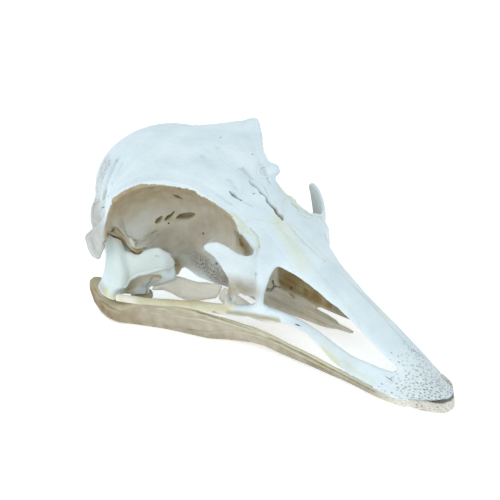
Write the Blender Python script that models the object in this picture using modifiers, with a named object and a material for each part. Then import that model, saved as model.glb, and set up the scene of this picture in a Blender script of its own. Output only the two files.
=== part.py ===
"""Life-size skull of an adult ostrich, lower jaw closed, resting on a table.

The bones are laid out in one frame: +X runs from the back of the head to the
tip of the bill, +Y to the bird's left, +Z up.  Sizes are millimetres at the
skull's own length and are scaled once, by UNIT.  Each bone is a closed solid.
The bones that are knit together in life (braincase, nasals, upper bill, cheek
bars) are shaped as one body and parted along their sutures with thin cuts.
"""

import bpy
import bmesh
from math import cos, pi, sin
from mathutils import Vector

# ---------------------------------------------------------------- driving sizes
SKULL_LENGTH = 184.4          # back of the braincase to the tip of the bill
DRAWN_LENGTH = 184.4          # the same length as the tables below have it
UNIT = 0.001 * SKULL_LENGTH / DRAWN_LENGTH
SUTURE = 0.36                 # width of the cut along a suture
JOINT_GAP = 0.4               # clearance where two loose bones meet
VOXEL = 0.85                  # grid that knits a bone's rough pieces together
THIN_VOXEL = 0.72             # the same, on the thin loose bones
STEP = 2.0                    # spacing of sections along a lofted piece

KNIT_FACES = 5000             # triangles left on the knitted upper skull
JAW_FACES = 1000
LACRIMAL_FACES = 220
QUADRATE_FACES = 300
PTERYGOID_FACES = 120
PALATINE_FACES = 120

# Bleached bone: cool white on top, warmer where it was sheltered.
BONE_WHITE = (0.80, 0.86, 0.88, 1.0)
BONE_IVORY = (0.80, 0.77, 0.68, 1.0)
BONE_ROUGHNESS = 0.55
SHELTERED = ("mandible", "jugal", "palatine", "pterygoid")

# Orbit: the hollow that holds the eye, an ellipsoid on each side.
ORBIT_CENTRE = (63.0, 31.0, 44.0)
ORBIT_RADII = (27.0, 29.3, 24.3)

# Braincase: an egg behind the orbits.
BRAIN_CENTRE = (29.9, 0.0, 46.3)
BRAIN_RADII = (29.9, 31.2, 23.0)

# Roof of the skull from the crown to the bill: where along the skull, half
# width, height of the edge, height of the middle.
ROOF = (
    (20.0, 26.0, 48.0, 64.0),
    (30.0, 33.5, 53.0, 69.4),
    (40.0, 39.8, 60.0, 71.8),
    (48.0, 37.2, 67.4, 72.0),
    (56.0, 32.4, 70.0, 71.9),
    (64.0, 26.4, 68.8, 70.6),
    (72.0, 20.6, 64.9, 67.2),
    (80.0, 15.4, 59.4, 62.4),
    (92.0, 15.8, 51.8, 55.8),
    (100.0, 17.2, 47.8, 51.6),
    (106.0, 14.8, 45.0, 49.4),
    (113.0, 11.6, 41.6, 45.8),
    (121.0, 9.4, 37.6, 40.8),
    (130.0, 8.2, 33.4, 35.9),
    (140.0, 7.4, 28.6, 30.9),
    (150.0, 7.4, 23.4, 25.7),
    (157.0, 7.4, 20.0, 22.3),
    (163.0, 7.2, 17.0, 19.5),
    (168.0, 6.8, 13.6, 16.4),
)
BLOCK_END = 82.0              # the deep frontal block stops here
BLOCK_FLOOR = 22.0
NASAL_START = 72.0            # the thin roof of the nose starts here, inside the block
ROOF_THICKNESS = 3.6

# Tip of the bill: where along, half width, height of the edge, of the middle.
BILL_TIP = (
    (163.0, 13.4, 6.9, 17.4),
    (168.0, 11.9, 6.9, 15.6),
    (174.0, 9.4, 7.3, 13.0),
    (179.0, 6.6, 8.7, 11.6),
    (182.0, 4.6, 9.8, 10.9),
    (183.8, 2.2, 10.2, 10.6),
)
BILL_THICKNESS = 3.0

# Front of the lower jaw, below the bill tip.
JAW_TIP = (
    (158.0, 10.4, 5.0, 1.0),
    (167.0, 10.9, 5.1, -0.2),
    (173.0, 10.2, 5.5, -0.6),
    (179.0, 7.6, 6.6, -0.6),
    (182.6, 4.6, 7.9, 0.0),
    (184.6, 2.2, 8.4, 2.0),
)
JAW_TIP_THICKNESS = 2.4

LEFT, RIGHT = 1.0, -1.0
SIDES = ((RIGHT, "right"), (LEFT, "left"))


# ---------------------------------------------------------------- scene helpers
def clear_scene():
    """Remove every object that is in the file."""
    for obj in list(bpy.data.objects):
        bpy.data.objects.remove(obj, do_unlink=True)


def new_collection(name):
    """Link a new collection into the scene."""
    collection = bpy.data.collections.new(name)
    bpy.context.scene.collection.children.link(collection)
    return collection


def bone_material(name, colour):
    """Dry bone as a Principled material."""
    material = bpy.data.materials.new(name)
    material.use_nodes = True
    shader = material.node_tree.nodes["Principled BSDF"]
    shader.inputs["Base Color"].default_value = colour
    shader.inputs["Roughness"].default_value = BONE_ROUGHNESS
    shader.inputs["Metallic"].default_value = 0.0
    material.diffuse_color = colour
    return material


def link_mesh(name, mesh, collection):
    """Make an object of a mesh in a collection."""
    obj = bpy.data.objects.new(name, mesh)
    collection.objects.link(obj)
    return obj


def link_bmesh(name, bm, collection):
    """Turn a bmesh into an object with its faces pointing out."""
    bmesh.ops.recalc_face_normals(bm, faces=bm.faces[:])
    mesh = bpy.data.meshes.new(name)
    bm.to_mesh(mesh)
    bm.free()
    return link_mesh(name, mesh, collection)


def bake(obj):
    """Replace an object's mesh by what its modifiers make of it."""
    bpy.context.view_layer.update()
    graph = bpy.context.evaluated_depsgraph_get()
    baked = bpy.data.meshes.new_from_object(obj.evaluated_get(graph))
    obj.modifiers.clear()
    obj.data = baked
    return obj


def discard(obj):
    """Remove a working object."""
    bpy.data.objects.remove(obj, do_unlink=True)


# ---------------------------------------------------------------- curves
def between(p0, p1, p2, p3, t):
    """Catmull-Rom value between p1 and p2."""
    return 0.5 * (2 * p1 + (p2 - p0) * t + (2 * p0 - 5 * p1 + 4 * p2 - p3) * t * t
                  + (3 * p1 - p0 - 3 * p2 + p3) * t * t * t)


def smooth_rows(rows, spacing=STEP):
    """Fill in rows of numbers along a smooth curve through the given ones.

    The first three numbers of a row are taken as its place.
    """
    padded = [rows[0]] + list(rows) + [rows[-1]]
    filled = []
    for index in range(1, len(padded) - 2):
        a, b = padded[index], padded[index + 1]
        length = (Vector(a[:3]) - Vector(b[:3])).length
        steps = max(1, round(length / spacing))
        for step in range(steps):
            t = step / steps
            filled.append([between(padded[index - 1][k], a[k], b[k],
                                   padded[index + 2][k], t) for k in range(len(a))])
    filled.append(list(rows[-1]))
    return filled


def mirrored(point, side):
    """A point given for the bird's right, on the side asked for."""
    return Vector((point[0], point[1] if side == RIGHT else -point[1], point[2]))


# ---------------------------------------------------------------- solid builders
def loft(rings):
    """Closed bmesh through rings of equally many points."""
    bm = bmesh.new()
    count = len(rings[0])
    loops = [[bm.verts.new(Vector(p) * UNIT) for p in ring] for ring in rings]
    for near, far in zip(loops, loops[1:]):
        for k in range(count):
            following = (k + 1) % count
            bm.faces.new((near[k], near[following], far[following], far[k]))
    bm.faces.new(loops[0])
    bm.faces.new(loops[-1])
    return bm


def band(name, collection, stations, side=RIGHT, squareness=0.75, sides=14):
    """Flat bar between two edges.

    Each station is (point on one edge, point on the other edge, thickness),
    given for the bird's right side.
    """
    rows = [list(a) + list(b) + [t] for a, b, t in stations]
    rows = smooth_rows(rows)
    edges = [(mirrored(r[0:3], side), mirrored(r[3:6], side), r[6]) for r in rows]
    middles = [(a + b) / 2 for a, b, _ in edges]
    rings = []
    for index, (a, b, thickness) in enumerate(edges):
        before = middles[max(index - 1, 0)]
        after = middles[min(index + 1, len(middles) - 1)]
        half = (b - a) / 2
        normal = (after - before).cross(half).normalized()
        ring = []
        for k in range(sides):
            angle = 2 * pi * k / sides
            c, s = cos(angle), sin(angle)
            along = abs(c) ** squareness * (1 if c > 0 else -1)
            across = abs(s) ** squareness * (1 if s > 0 else -1)
            ring.append(middles[index] + half * along + normal * across * thickness / 2)
        rings.append(ring)
    return link_bmesh(name, loft(rings), collection)


def rod(name, collection, stations, side=RIGHT, sides=14):
    """Round bar; each station is (centre, radius across, radius up)."""
    stretched = []
    for centre, across, up in stations:
        x, y, z = centre
        stretched.append(((x, y, z - up), (x, y, z + up), 2 * across))
    return band(name, collection, stretched, side, squareness=1.0, sides=sides)


def arched(name, collection, rows, underside, across=12, power=2.0):
    """Roof-like solid over the mid-line.

    Each row is (x, half width, height of the edge, height of the middle);
    underside(x, v, half width, top) gives the (y, z) below a place at the
    fraction v across.
    """
    table = [(x, 0.0, 0.0, w, edge, mid) for x, w, edge, mid in rows]
    rings = []
    for x, _, _, w, edge, mid in smooth_rows(table):
        top, below = [], []
        for k in range(across + 1):
            v = 2.0 * k / across - 1.0
            height = edge + (mid - edge) * (1.0 - abs(v) ** power)
            top.append((x, w * v, height))
            low_y, low_z = underside(x, v, w, height)
            below.append((x, low_y, low_z))
        rings.append(top + below[::-1])
    return link_bmesh(name, loft(rings), collection)


def egg(name, collection, centre, radii, side=RIGHT, rings=24):
    """Ellipsoid from a UV sphere."""
    bm = bmesh.new()
    bmesh.ops.create_uvsphere(bm, u_segments=2 * rings, v_segments=rings, radius=1.0)
    bmesh.ops.scale(bm, vec=Vector(radii) * UNIT, verts=bm.verts[:])
    place = Vector((centre[0], abs(centre[1]) * side, centre[2]))
    bmesh.ops.translate(bm, vec=place * UNIT, verts=bm.verts[:])
    return link_bmesh(name, bm, collection)


def slab(name, collection, line, direction, reach, thickness=SUTURE, side=RIGHT):
    """Thin sheet that follows a line and reaches to both sides of it."""
    points = [mirrored(p, side) for p in line]
    reach_vector = mirrored(direction, side).normalized() * reach
    rings = []
    for index, point in enumerate(points):
        before = points[max(index - 1, 0)]
        after = points[min(index + 1, len(points) - 1)]
        normal = (after - before).cross(reach_vector).normalized() * thickness / 2
        rings.append([point - reach_vector - normal, point + reach_vector - normal,
                      point + reach_vector + normal, point - reach_vector + normal])
    return link_bmesh(name, loft(rings), collection)


def box(name, collection, low, high):
    """Block between two corners."""
    bm = bmesh.new()
    bmesh.ops.create_cube(bm, size=1.0)
    size = Vector(high) - Vector(low)
    bmesh.ops.scale(bm, vec=size * UNIT, verts=bm.verts[:])
    bmesh.ops.translate(bm, vec=(Vector(high) + Vector(low)) / 2 * UNIT, verts=bm.verts[:])
    return link_bmesh(name, bm, collection)


# ---------------------------------------------------------------- shaping
def knit(name, pieces, collection, faces=0, voxel=VOXEL, relax=3):
    """Grow rough pieces together into one smooth closed body."""
    bm = bmesh.new()
    for piece in pieces:
        bm.from_mesh(piece.data)
        discard(piece)
    mesh = bpy.data.meshes.new(name)
    bm.to_mesh(mesh)
    bm.free()
    obj = link_mesh(name, mesh, collection)
    grid = obj.modifiers.new("knit", "REMESH")
    grid.mode = "VOXEL"
    grid.voxel_size = voxel * UNIT
    soften = obj.modifiers.new("soften", "SMOOTH")
    soften.factor = 0.5
    soften.iterations = relax
    bake(obj)
    keep_largest(obj)
    if faces:
        simplify(obj, faces)
    return obj


def simplify(obj, faces):
    """Bring a body down to about this many triangles."""
    triangles = sum(len(p.vertices) - 2 for p in obj.data.polygons)
    thin = obj.modifiers.new("thin", "DECIMATE")
    thin.ratio = min(1.0, faces / triangles)
    bake(obj)


def cut(obj, cutter):
    """Take the cutter's space out of a body."""
    cutter.hide_render = True
    cutter.display_type = "WIRE"
    boolean = obj.modifiers.new("cut", "BOOLEAN")
    boolean.operation = "DIFFERENCE"
    boolean.solver = "EXACT"
    boolean.object = cutter
    bake(obj)
    discard(cutter)


def islands(obj):
    """Lists of vertex indices of a mesh's separate bodies."""
    bm = bmesh.new()
    bm.from_mesh(obj.data)
    unseen = set(bm.verts)
    bodies = []
    while unseen:
        frontier = [unseen.pop()]
        body = []
        while frontier:
            vert = frontier.pop()
            body.append(vert.index)
            for edge in vert.link_edges:
                other = edge.other_vert(vert)
                if other in unseen:
                    unseen.remove(other)
                    frontier.append(other)
        bodies.append(sorted(body))
    bm.free()
    return sorted(bodies, key=len, reverse=True)


def keep_island(obj, body):
    """Delete all but one body of a mesh."""
    bm = bmesh.new()
    bm.from_mesh(obj.data)
    bm.verts.ensure_lookup_table()
    wanted = set(body)
    spare = [v for v in bm.verts if v.index not in wanted]
    bmesh.ops.delete(bm, geom=spare, context="VERTS")
    bm.to_mesh(obj.data)
    bm.free()


def keep_largest(obj):
    """Drop crumbs that a cut has left."""
    bodies = islands(obj)
    if len(bodies) > 1:
        keep_island(obj, bodies[0])


def split_out(whole, seeds, collection):
    """Part a body into named bones.

    seeds maps a bone's name to a place inside it; each bone is the island
    with a vertex nearest to that place.
    """
    bodies = islands(whole)
    bones = {}
    for name, seed in seeds.items():
        place = Vector(seed) * UNIT
        nearest = min(bodies, key=lambda body: min(
            (whole.data.vertices[i].co - place).length for i in body))
        bone = link_mesh(name, whole.data.copy(), collection)
        keep_island(bone, nearest)
        bones[name] = bone
    discard(whole)
    return bones


def swollen_copy(obj, margin, collection):
    """Copy of a body, grown by a margin along its normals."""
    copy = link_mesh("swollen_" + obj.name, obj.data.copy(), collection)
    bm = bmesh.new()
    bm.from_mesh(copy.data)
    bm.normal_update()
    moved = [(vert, vert.co + vert.normal * margin * UNIT) for vert in bm.verts]
    for vert, place in moved:
        vert.co = place
    bm.to_mesh(copy.data)
    bm.free()
    return copy


def stand_clear(obj, neighbours, collection):
    """Trim a bone so that it keeps the joint gap to its neighbours."""
    for neighbour in neighbours:
        cut(obj, swollen_copy(neighbour, JOINT_GAP, collection))
    keep_largest(obj)


# Braincase and processes behind the orbit.  Rod rows are (centre, radius across,
# radius up); band rows are (one edge, other edge, thickness); hollows and lumps
# are (centre, radii).  All are given for the bird's right.
SKULL_BASE = (
    ((3.5, 0, 31), 7, 6), ((9, 0, 29), 13, 9.5), ((20, 0, 25), 15, 8),
    ((34, 0, 22), 13, 9), ((44, 0, 18), 8, 8),
)
CONDYLE = (((0.5, 0, 27), 2.2, 2.0), ((2, 0, 27), 4.0, 3.6), ((8, 0, 28), 4.6, 4.2))
POSTORBITAL = (
    ((36, -36.5, 58), (46, -39, 57), 5),
    ((34.5, -37, 49), (43.5, -41, 50), 4.6),
    ((25.2, -38.6, 40), (39.5, -42.2, 42), 4.4),
    ((20.8, -40.2, 35.0), (35, -42.5, 34), 3.8),
    ((26.2, -41.3, 28.4), (32, -42, 28.4), 2.6),
)
PAROCCIPITAL = (
    ((9, -11, 37), (9, -11, 21), 9),
    ((13, -21, 36), (13.5, -21, 18), 7),
    ((18.5, -28.5, 29), (18.5, -27, 15.5), 3.8),
)
HEAD_LUMPS = (
    ("ear_block", (23, 25, 36), (12, 9, 15)),
    ("squamosal", (31, 31, 45), (7.5, 4.8, 10)),
)
HEAD_HOLLOWS = (
    ("orbit", ORBIT_CENTRE, ORBIT_RADII),
    ("antorbital", (86, 17, 40), (13.5, 15.4, 18.0)),
    ("ear", (24, 35, 33), (6, 7, 5.5)),
    ("temporal", (25, 34.5, 60), (6, 7, 14)),
)
FORAMEN_MAGNUM = ((2, 0, 38), (8, 6.5, 6))
BROW_LUG = ((77.0, 16.2, 61.6), (4.6, 3.6, 2.6))

# Wall between the orbits, the bar under it and its spine into the bill.
ROSTRUM = (
    ((38, 0, 17), 7, 8), ((50, 0, 15.5), 8.2, 8.2), ((60, 0, 16), 8.2, 8.0),
    ((70, 0, 15), 6.0, 6.0), ((84, 0, 12), 4.0, 4.0),
)
SPINE = (
    ((82, 0, 11.6), 4.0, 4.0), ((100, 0, 12.4), 2.8, 3.3), ((114, 0, 13.8), 2.3, 3.4),
    ((122, 0, 14.4), 1.8, 2.8), ((126, 0, 14.6), 1.3, 1.7), ((135, 0, 15.4), 0.9, 1.0),
)
ORBIT_WALL = (
    ((46, 0, 14), (46, 0, 62), 5), ((64, 0, 14), (64, 0, 64), 3.8),
    ((78, 0, 12), (80, 0, 60), 3.4), ((86, 0, 12), (90, 0, 52), 2.6),
)
NOSE_WALL = (
    ((84, 0, 12), (88, 0, 50), 2.4), ((98, 0, 12), (98, 0, 45), 2.2),
    ((108, 0, 15.5), (108, 0, 37.5), 2.0), ((117, 0, 19), (117, 0, 32), 1.9),
    ((123.5, 0, 21), (123.5, 0, 27.5), 1.8),
)
BASIPTERYGOID = (
    ((38, -4, 15), 3.2, 3.2), ((41, -9, 13.6), 2.6, 2.8), ((43, -13, 13), 2.6, 3.0),
)

# Bars of the bill.
NASAL_STRUT = (
    ((98.0, -12.5, 50.0), (109.0, -9.5, 44.2), 3.0),
    ((102.5, -18.8, 46.0), (107.8, -13.8, 41.8), 2.8),
    ((102.8, -20.0, 40.0), (106.2, -16.8, 36.0), 2.6),
    ((100.8, -19.6, 31.0), (104.2, -17.8, 29.0), 2.6),
    ((98.0, -18.4, 21.0), (102.6, -17.8, 21.0), 2.8),
)
CHEEK_BAR = (
    ((37.2, -40.8, 10.4), (37.2, -40.8, 14.2), 3.2),
    ((50, -36.5, 11.7), (50, -36.5, 15.3), 3.0),
    ((67, -31, 14.8), (67, -31, 18.6), 3.0),
    ((82, -26, 15.6), (82, -26, 21.0), 3.0),
    ((92, -21.8, 16.2), (92, -21.5, 21.8), 3.0),
    ((100, -18.5, 17.8), (100, -18.3, 24.0), 3.2),
    ((108, -17.2, 18.0), (108, -15.5, 23.4), 3.0),
    ((116, -16.8, 19.4), (116, -14.2, 23.2), 2.8),
    ((124, -16.4, 19.0), (124, -13.5, 22.2), 2.6),
    ((131, -16.2, 16.0), (131, -13.2, 20.6), 2.8),
    ((137, -15.8, 11.6), (139, -12.4, 17.4), 3.2),
    ((144, -15.5, 9.2), (146, -11.2, 15.4), 3.2),
    ((151, -15.1, 8.0), (152, -9.8, 14.6), 3.2),
    ((157, -14.6, 7.7), (158, -8.2, 13.9), 3.2),
    ((163, -13.6, 7.5), (164, -6.2, 13.4), 3.2),
    ((167, -12.6, 7.4), (168, -4.4, 12.8), 3.2),
    ((171, -11.4, 7.3), (172, -3.4, 11.5), 3.2),
)

# Sutures: line on the bone, direction of the cut, how far it reaches.
SUTURES = (
    ("frontonasal", ((83, -24, 58), (88, -14.5, 57), (91, -8, 57), (97.5, -2.6, 57),
                     (97.5, 1.0, 57)), (0, 0, 1), 12),
    ("premaxillonasal", ((97.5, -1.8, 42), (98.5, -2.8, 42), (115, -3.6, 38),
                         (134, -4.4, 32), (143, -5.6, 27), (149, -9.2, 23)), (0, 0, 1), 17),
    ("nasomaxillary", ((92, -18, 25.2), (100, -18, 24.8), (110, -18, 25.4)), (0, 1, 0.15), 7),
    ("premaxillomaxillary", ((131, -15, 5), (133, -15, 11.5), (131, -15, 15),
                             (137, -15, 24)), (0, 1, 0), 5),
    ("jugomaxillary", ((88, -22.6, 14), (93, -22.6, 25)), (0.3, 1, 0), 6),
)

# Loose bones.
LACRIMAL_PLATE = (
    ((99.0, -15.0, 50.8), (98.6, -18.4, 27.4), 2.4),
    ((101.4, -19.6, 48.6), (98.4, -20.2, 27.4), 2.4),
    ((98.4, -24.0, 50.0), (95.2, -22.6, 28.6), 2.4),
    ((92.6, -27.0, 54.2), (91.6, -25.0, 36.0), 2.4),
    ((87.2, -29.0, 53.6), (88.4, -27.6, 45.4), 2.2),
    ((84.2, -30.4, 50.8), (84.8, -29.8, 49.0), 1.4),
)
LACRIMAL_FINGER = (
    ((91.0, -24.6, 38.0), (96.0, -22.0, 36.0), 2.4),
    ((89.6, -24.2, 29.5), (94.4, -22.2, 28.5), 2.4),
    ((85.4, -23.6, 22.6), (90.6, -22.0, 22.0), 2.2),
)
QUADRATE_SHAFT = (
    ((27.0, -31.5, 38.5), (32.5, -33.0, 38.5), 5.0),
    ((27.0, -33.0, 31.0), (36.5, -33.5, 31.0), 6.0),
    ((27.2, -35.5, 22.0), (38.5, -34.0, 22.0), 7.0),
    ((26.0, -37.5, 14.5), (39.0, -36.5, 14.5), 8.0),
)
QUADRATE_OUTER = (
    ((25.6, -37.6, 12.8), 3.0, 2.2), ((30, -38.2, 12.6), 4.6, 3.4),
    ((36.4, -39.6, 12.8), 3.0, 3.2),
)
QUADRATE_INNER = (
    ((33, -35, 14), 4.0, 4.0), ((38, -30, 12), 3.4, 3.2), ((41.5, -26, 11), 2.6, 2.6),
)
QUADRATE_PROCESS = (
    ((34.5, -34.0, 12.5), (33.5, -33.5, 31.0), 5.0),
    ((39.0, -29.5, 11.0), (40.0, -28.5, 30.0), 3.6),
    ((45.5, -24.2, 12.8), (46.0, -23.0, 32.0), 2.8),
    ((52.5, -19.4, 16.4), (51.5, -19.5, 29.0), 2.2),
)
PTERYGOID_STRUT = (
    ((43.0, -26.5, 10.4), (44.2, -21.8, 16.6), 3.2),
    ((48.0, -22.4, 10.0), (50.0, -17.0, 16.2), 2.8),
    ((55.0, -20.2, 7.6), (57.0, -12.8, 14.2), 2.4),
    ((62.0, -18.0, 8.2), (65.0, -11.6, 16.4), 2.2),
    ((71.0, -14.6, 12.0), (72.0, -10.6, 17.2), 1.9),
)
PALATINE_PLATE = (
    ((71.4, -10.4, 16.8), (71.4, -14.8, 11.8), 1.8),
    ((84.0, -9.6, 14.4), (84.0, -16.4, 12.0), 2.0),
    ((98.0, -10.4, 12.4), (98.0, -16.4, 14.4), 2.0),
    ((107.0, -11.6, 15.4), (107.0, -15.0, 16.8), 1.8),
)

# Lower jaw: its underside stands on the table at zero.
RAMUS = (
    ((21.8, -37.2, 3.2), (17.8, -37.6, 12.2), 5.0),
    ((26.8, -38.8, -0.4), (21.8, -37.6, 14.0), 8.5),
    ((36.0, -39.2, -0.8), (36.0, -37.6, 8.4), 10.0),
    ((46.0, -35.6, -0.8), (46.5, -35.2, 12.5), 5.4),
    ((60.0, -29.8, -0.8), (61.0, -30.6, 14.2), 4.2),
    ((75.0, -24.4, -0.6), (76.0, -26.6, 13.8), 4.2),
    ((88.0, -19.4, 1.6), (88.0, -22.0, 12.2), 4.2),
    ((100.0, -16.6, 3.2), (100.0, -18.6, 10.8), 4.2),
    ((112.0, -16.4, 3.4), (112.0, -17.2, 10.2), 3.8),
    ((124.0, -15.6, 3.8), (124.0, -16.5, 9.9), 3.4),
    ((137.0, -14.4, 3.7), (137.0, -15.6, 8.8), 3.2),
    ((150.0, -12.8, 3.1), (150.0, -14.2, 7.4), 3.2),
    ((160.0, -10.8, 1.6), (161.0, -12.6, 6.0), 3.2),
    ((168.0, -8.0, -0.2), (169.0, -10.4, 5.0), 3.0),
)
JOINT_HORN = ((38, 28, 6), (4.5, 6, 3.2))
CHIN_NOTCH = ((154, 0, 2), (11.0, 8.0, 9.0))
BELOW_TABLE = ((-20, -80, -20), (220, 80, 0))


# ---------------------------------------------------------------- the head block
def block_underside(x, v, w, _):
    """Place below a point of the brow: broad at the back, drawn in between
    the orbits and thinnest where the nose begins."""
    behind = min(max((x - 40.0) / 10.0, 0.0), 1.0)
    ahead = min(max((x - 62.0) / 16.0, 0.0), 1.0)
    half = min(w, 27.0) * (1.0 - behind) + 6.0 * behind - 4.2 * ahead
    return half * v, BLOCK_FLOOR


def braincase_pieces(work):
    """Braincase, flared brow and the processes behind the orbit."""
    crown = [row for row in ROOF if row[0] <= BLOCK_END]
    pieces = [
        arched("brow", work, crown, block_underside),
        egg("brain", work, BRAIN_CENTRE, BRAIN_RADII),
        rod("skull_base", work, SKULL_BASE),
        rod("condyle", work, CONDYLE),
    ]
    for side, _ in SIDES:
        pieces += [egg(name, work, centre, radii, side) for name, centre, radii in HEAD_LUMPS]
        pieces.append(band("postorbital", work, POSTORBITAL, side))
        pieces.append(band("paroccipital", work, PAROCCIPITAL, side))
    return pieces


def head_block(work):
    """The fused back of the skull with both orbits hollowed out."""
    block = knit("head", braincase_pieces(work), work)
    for side, _ in SIDES:
        for name, centre, radii in HEAD_HOLLOWS:
            cut(block, egg(name, work, centre, radii, side, rings=32))
    cut(block, egg("foramen", work, *FORAMEN_MAGNUM))
    keep_largest(block)
    return block


def brow_lug(work):
    """Rounded lug on the left brow only, as on the bird that was modelled."""
    return [egg("brow_lug", work, *BROW_LUG, LEFT)]


def septum_pieces(work):
    """Wall between the orbits, the swollen rostrum and its long spine."""
    pieces = [
        rod("rostrum", work, ROSTRUM),
        rod("spine", work, SPINE),
        band("orbit_wall", work, ORBIT_WALL),
        band("nose_wall", work, NOSE_WALL),
    ]
    return pieces + [rod("basipterygoid", work, BASIPTERYGOID, side) for side, _ in SIDES]


# ---------------------------------------------------------------- the bill
def roof_underside(_, v, w, height):
    """Place below a point of the nasal roof."""
    return 0.94 * w * v, height - ROOF_THICKNESS * (1.0 - 0.4 * abs(v))


def bill_underside(_, v, w, height):
    """Place below a point of the bill tip, thin towards its edge."""
    return 0.9 * w * v, height - BILL_THICKNESS * (1.0 - 0.55 * abs(v))


def bill_pieces(work):
    """Nasal roof and bar, the bill tip, the cheek bars and nasal struts."""
    nasal = [row for row in ROOF if row[0] >= NASAL_START]
    pieces = [
        arched("nasal_roof", work, nasal, roof_underside),
        arched("bill_tip", work, BILL_TIP, bill_underside, power=2.2),
    ]
    for side, _ in SIDES:
        pieces.append(band("nasal_strut", work, NASAL_STRUT, side))
        pieces.append(band("cheek", work, CHEEK_BAR, side))
    return pieces


def part_sutures(whole, work):
    """Thin cuts where the grown bones meet."""
    for side, _ in SIDES:
        for name, line, direction, reach in SUTURES:
            cut(whole, slab(name, work, line, direction, reach, side=side))


def upper_skull(work, bones):
    """All the bones that are grown together, each as its own body."""
    pieces = [head_block(work)] + brow_lug(work) + septum_pieces(work) + bill_pieces(work)
    whole = knit("upper", pieces, work, faces=KNIT_FACES)
    part_sutures(whole, work)
    seeds = {"cranium": (30, 0, 74), "premaxilla": (175, 0, 13)}
    for side, label in SIDES:
        seeds["nasal_" + label] = (107, 12.5 * side, 43)
        seeds["maxilla_" + label] = (116, 15.5 * side, 20)
        seeds["jugal_" + label] = (60, 33 * side, 15.5)
    return split_out(whole, seeds, bones)


# ---------------------------------------------------------------- loose bones
def lacrimal(side, label, work, bones):
    """Plate in front of the eye with its brow spur and lower finger."""
    pieces = [
        band("plate", work, LACRIMAL_PLATE, side),
        band("finger", work, LACRIMAL_FINGER, side),
    ]
    return knit("lacrimal_" + label, pieces, bones, LACRIMAL_FACES, THIN_VOXEL)


def quadrate(side, label, work, bones):
    """Hinge bone between the braincase and the lower jaw."""
    pieces = [
        band("shaft", work, QUADRATE_SHAFT, side),
        rod("outer_condyle", work, QUADRATE_OUTER, side),
        rod("inner_condyle", work, QUADRATE_INNER, side),
        band("orbital_process", work, QUADRATE_PROCESS, side),
    ]
    return knit("quadrate_" + label, pieces, bones, QUADRATE_FACES, THIN_VOXEL)


def pterygoid(side, label, work, bones):
    """Strut from the quadrate to the palate, broad in front."""
    pieces = [band("strut", work, PTERYGOID_STRUT, side)]
    return knit("pterygoid_" + label, pieces, bones, PTERYGOID_FACES, THIN_VOXEL)


def palatine(side, label, work, bones):
    """Long flat bone of the palate, inside the cheek bar."""
    pieces = [band("plate", work, PALATINE_PLATE, side)]
    return knit("palatine_" + label, pieces, bones, PALATINE_FACES, THIN_VOXEL)


def chin_floor(_, v, w, height):
    """Place below a point of the jaw's front."""
    return 0.96 * w * v, height - JAW_TIP_THICKNESS


def lower_jaw(work, bones):
    """Both rami and the broad front where they meet."""
    bowl = [(x, w, edge, low + JAW_TIP_THICKNESS) for x, w, edge, low in JAW_TIP]
    chin = arched("chin", work, bowl, chin_floor, power=3.6)
    cut(chin, egg("chin_notch", work, *CHIN_NOTCH))
    pieces = [chin]
    for side, _ in SIDES:
        pieces.append(band("ramus", work, RAMUS, side))
        pieces.append(egg("joint_horn", work, *JOINT_HORN, side))
    jaw = knit("mandible", pieces, bones, JAW_FACES)
    cut(jaw, box("table", work, *BELOW_TABLE))
    return jaw


# ---------------------------------------------------------------- assembly
def centre_on_base(bones):
    """Move all bones so that the origin is under the middle of the skull."""
    corners = [vert.co for bone in bones.values() for vert in bone.data.vertices]
    low = Vector([min(c[k] for c in corners) for k in range(3)])
    high = Vector([max(c[k] for c in corners) for k in range(3)])
    shift = Vector(((low.x + high.x) / 2, (low.y + high.y) / 2, low.z))
    for bone in bones.values():
        for vert in bone.data.vertices:
            vert.co -= shift


def finish_bone(bone, material):
    """Give a bone its material and smooth shading."""
    bone.data.materials.clear()
    bone.data.materials.append(material)
    bone.data.shade_smooth()


def build():
    """Make the whole skull."""
    clear_scene()
    skull = new_collection("ostrich_skull")
    cutters = new_collection("cutters")
    white = bone_material("bleached_bone", BONE_WHITE)
    ivory = bone_material("ivory_bone", BONE_IVORY)

    bones = upper_skull(cutters, skull)
    jaw = lower_jaw(cutters, skull)
    bones["mandible"] = jaw
    for side, label in SIDES:
        hinge = quadrate(side, label, cutters, skull)
        stand_clear(hinge, [bones["cranium"], jaw], cutters)
        stand_clear(bones["jugal_" + label], [hinge, jaw], cutters)
        plate = lacrimal(side, label, cutters, skull)
        stand_clear(plate, [bones["nasal_" + label], bones["cranium"],
                            bones["maxilla_" + label], bones["jugal_" + label]], cutters)
        strut = pterygoid(side, label, cutters, skull)
        stand_clear(strut, [hinge, bones["cranium"], jaw], cutters)
        palate = palatine(side, label, cutters, skull)
        stand_clear(palate, [strut, bones["cranium"], bones["maxilla_" + label], jaw], cutters)
        for bone in (hinge, plate, strut, palate):
            bones[bone.name] = bone
    stand_clear(jaw, [bones["premaxilla"]], cutters)

    centre_on_base(bones)
    for name, bone in bones.items():
        finish_bone(bone, ivory if name.startswith(SHELTERED) else white)


build()
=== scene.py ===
"""Dresses the solid model of an adult ostrich skull as a macerated, bleached museum
specimen: every bone is remeshed finely, pierced, carved, stained and given painted
shade in its hollows, and stands on a plain pale floor in soft light.

Bends and washes are placed in millimetres in the skull's own frame (x from the back of
the head to the tip of the bill, y to the bird's left, z up from the table).  Marks and
holes are placed by pixels of the photograph, which the camera throws back onto the bone
that shows there.
"""
from __future__ import annotations

import logging
import math
import random
from dataclasses import dataclass, field
from enum import Enum
from itertools import chain
from typing import Any, Iterable, Iterator, Sequence

import bmesh
import bpy
import numpy as np
from mathutils import Matrix, Vector, noise
from mathutils.bvhtree import BVHTree


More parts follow.
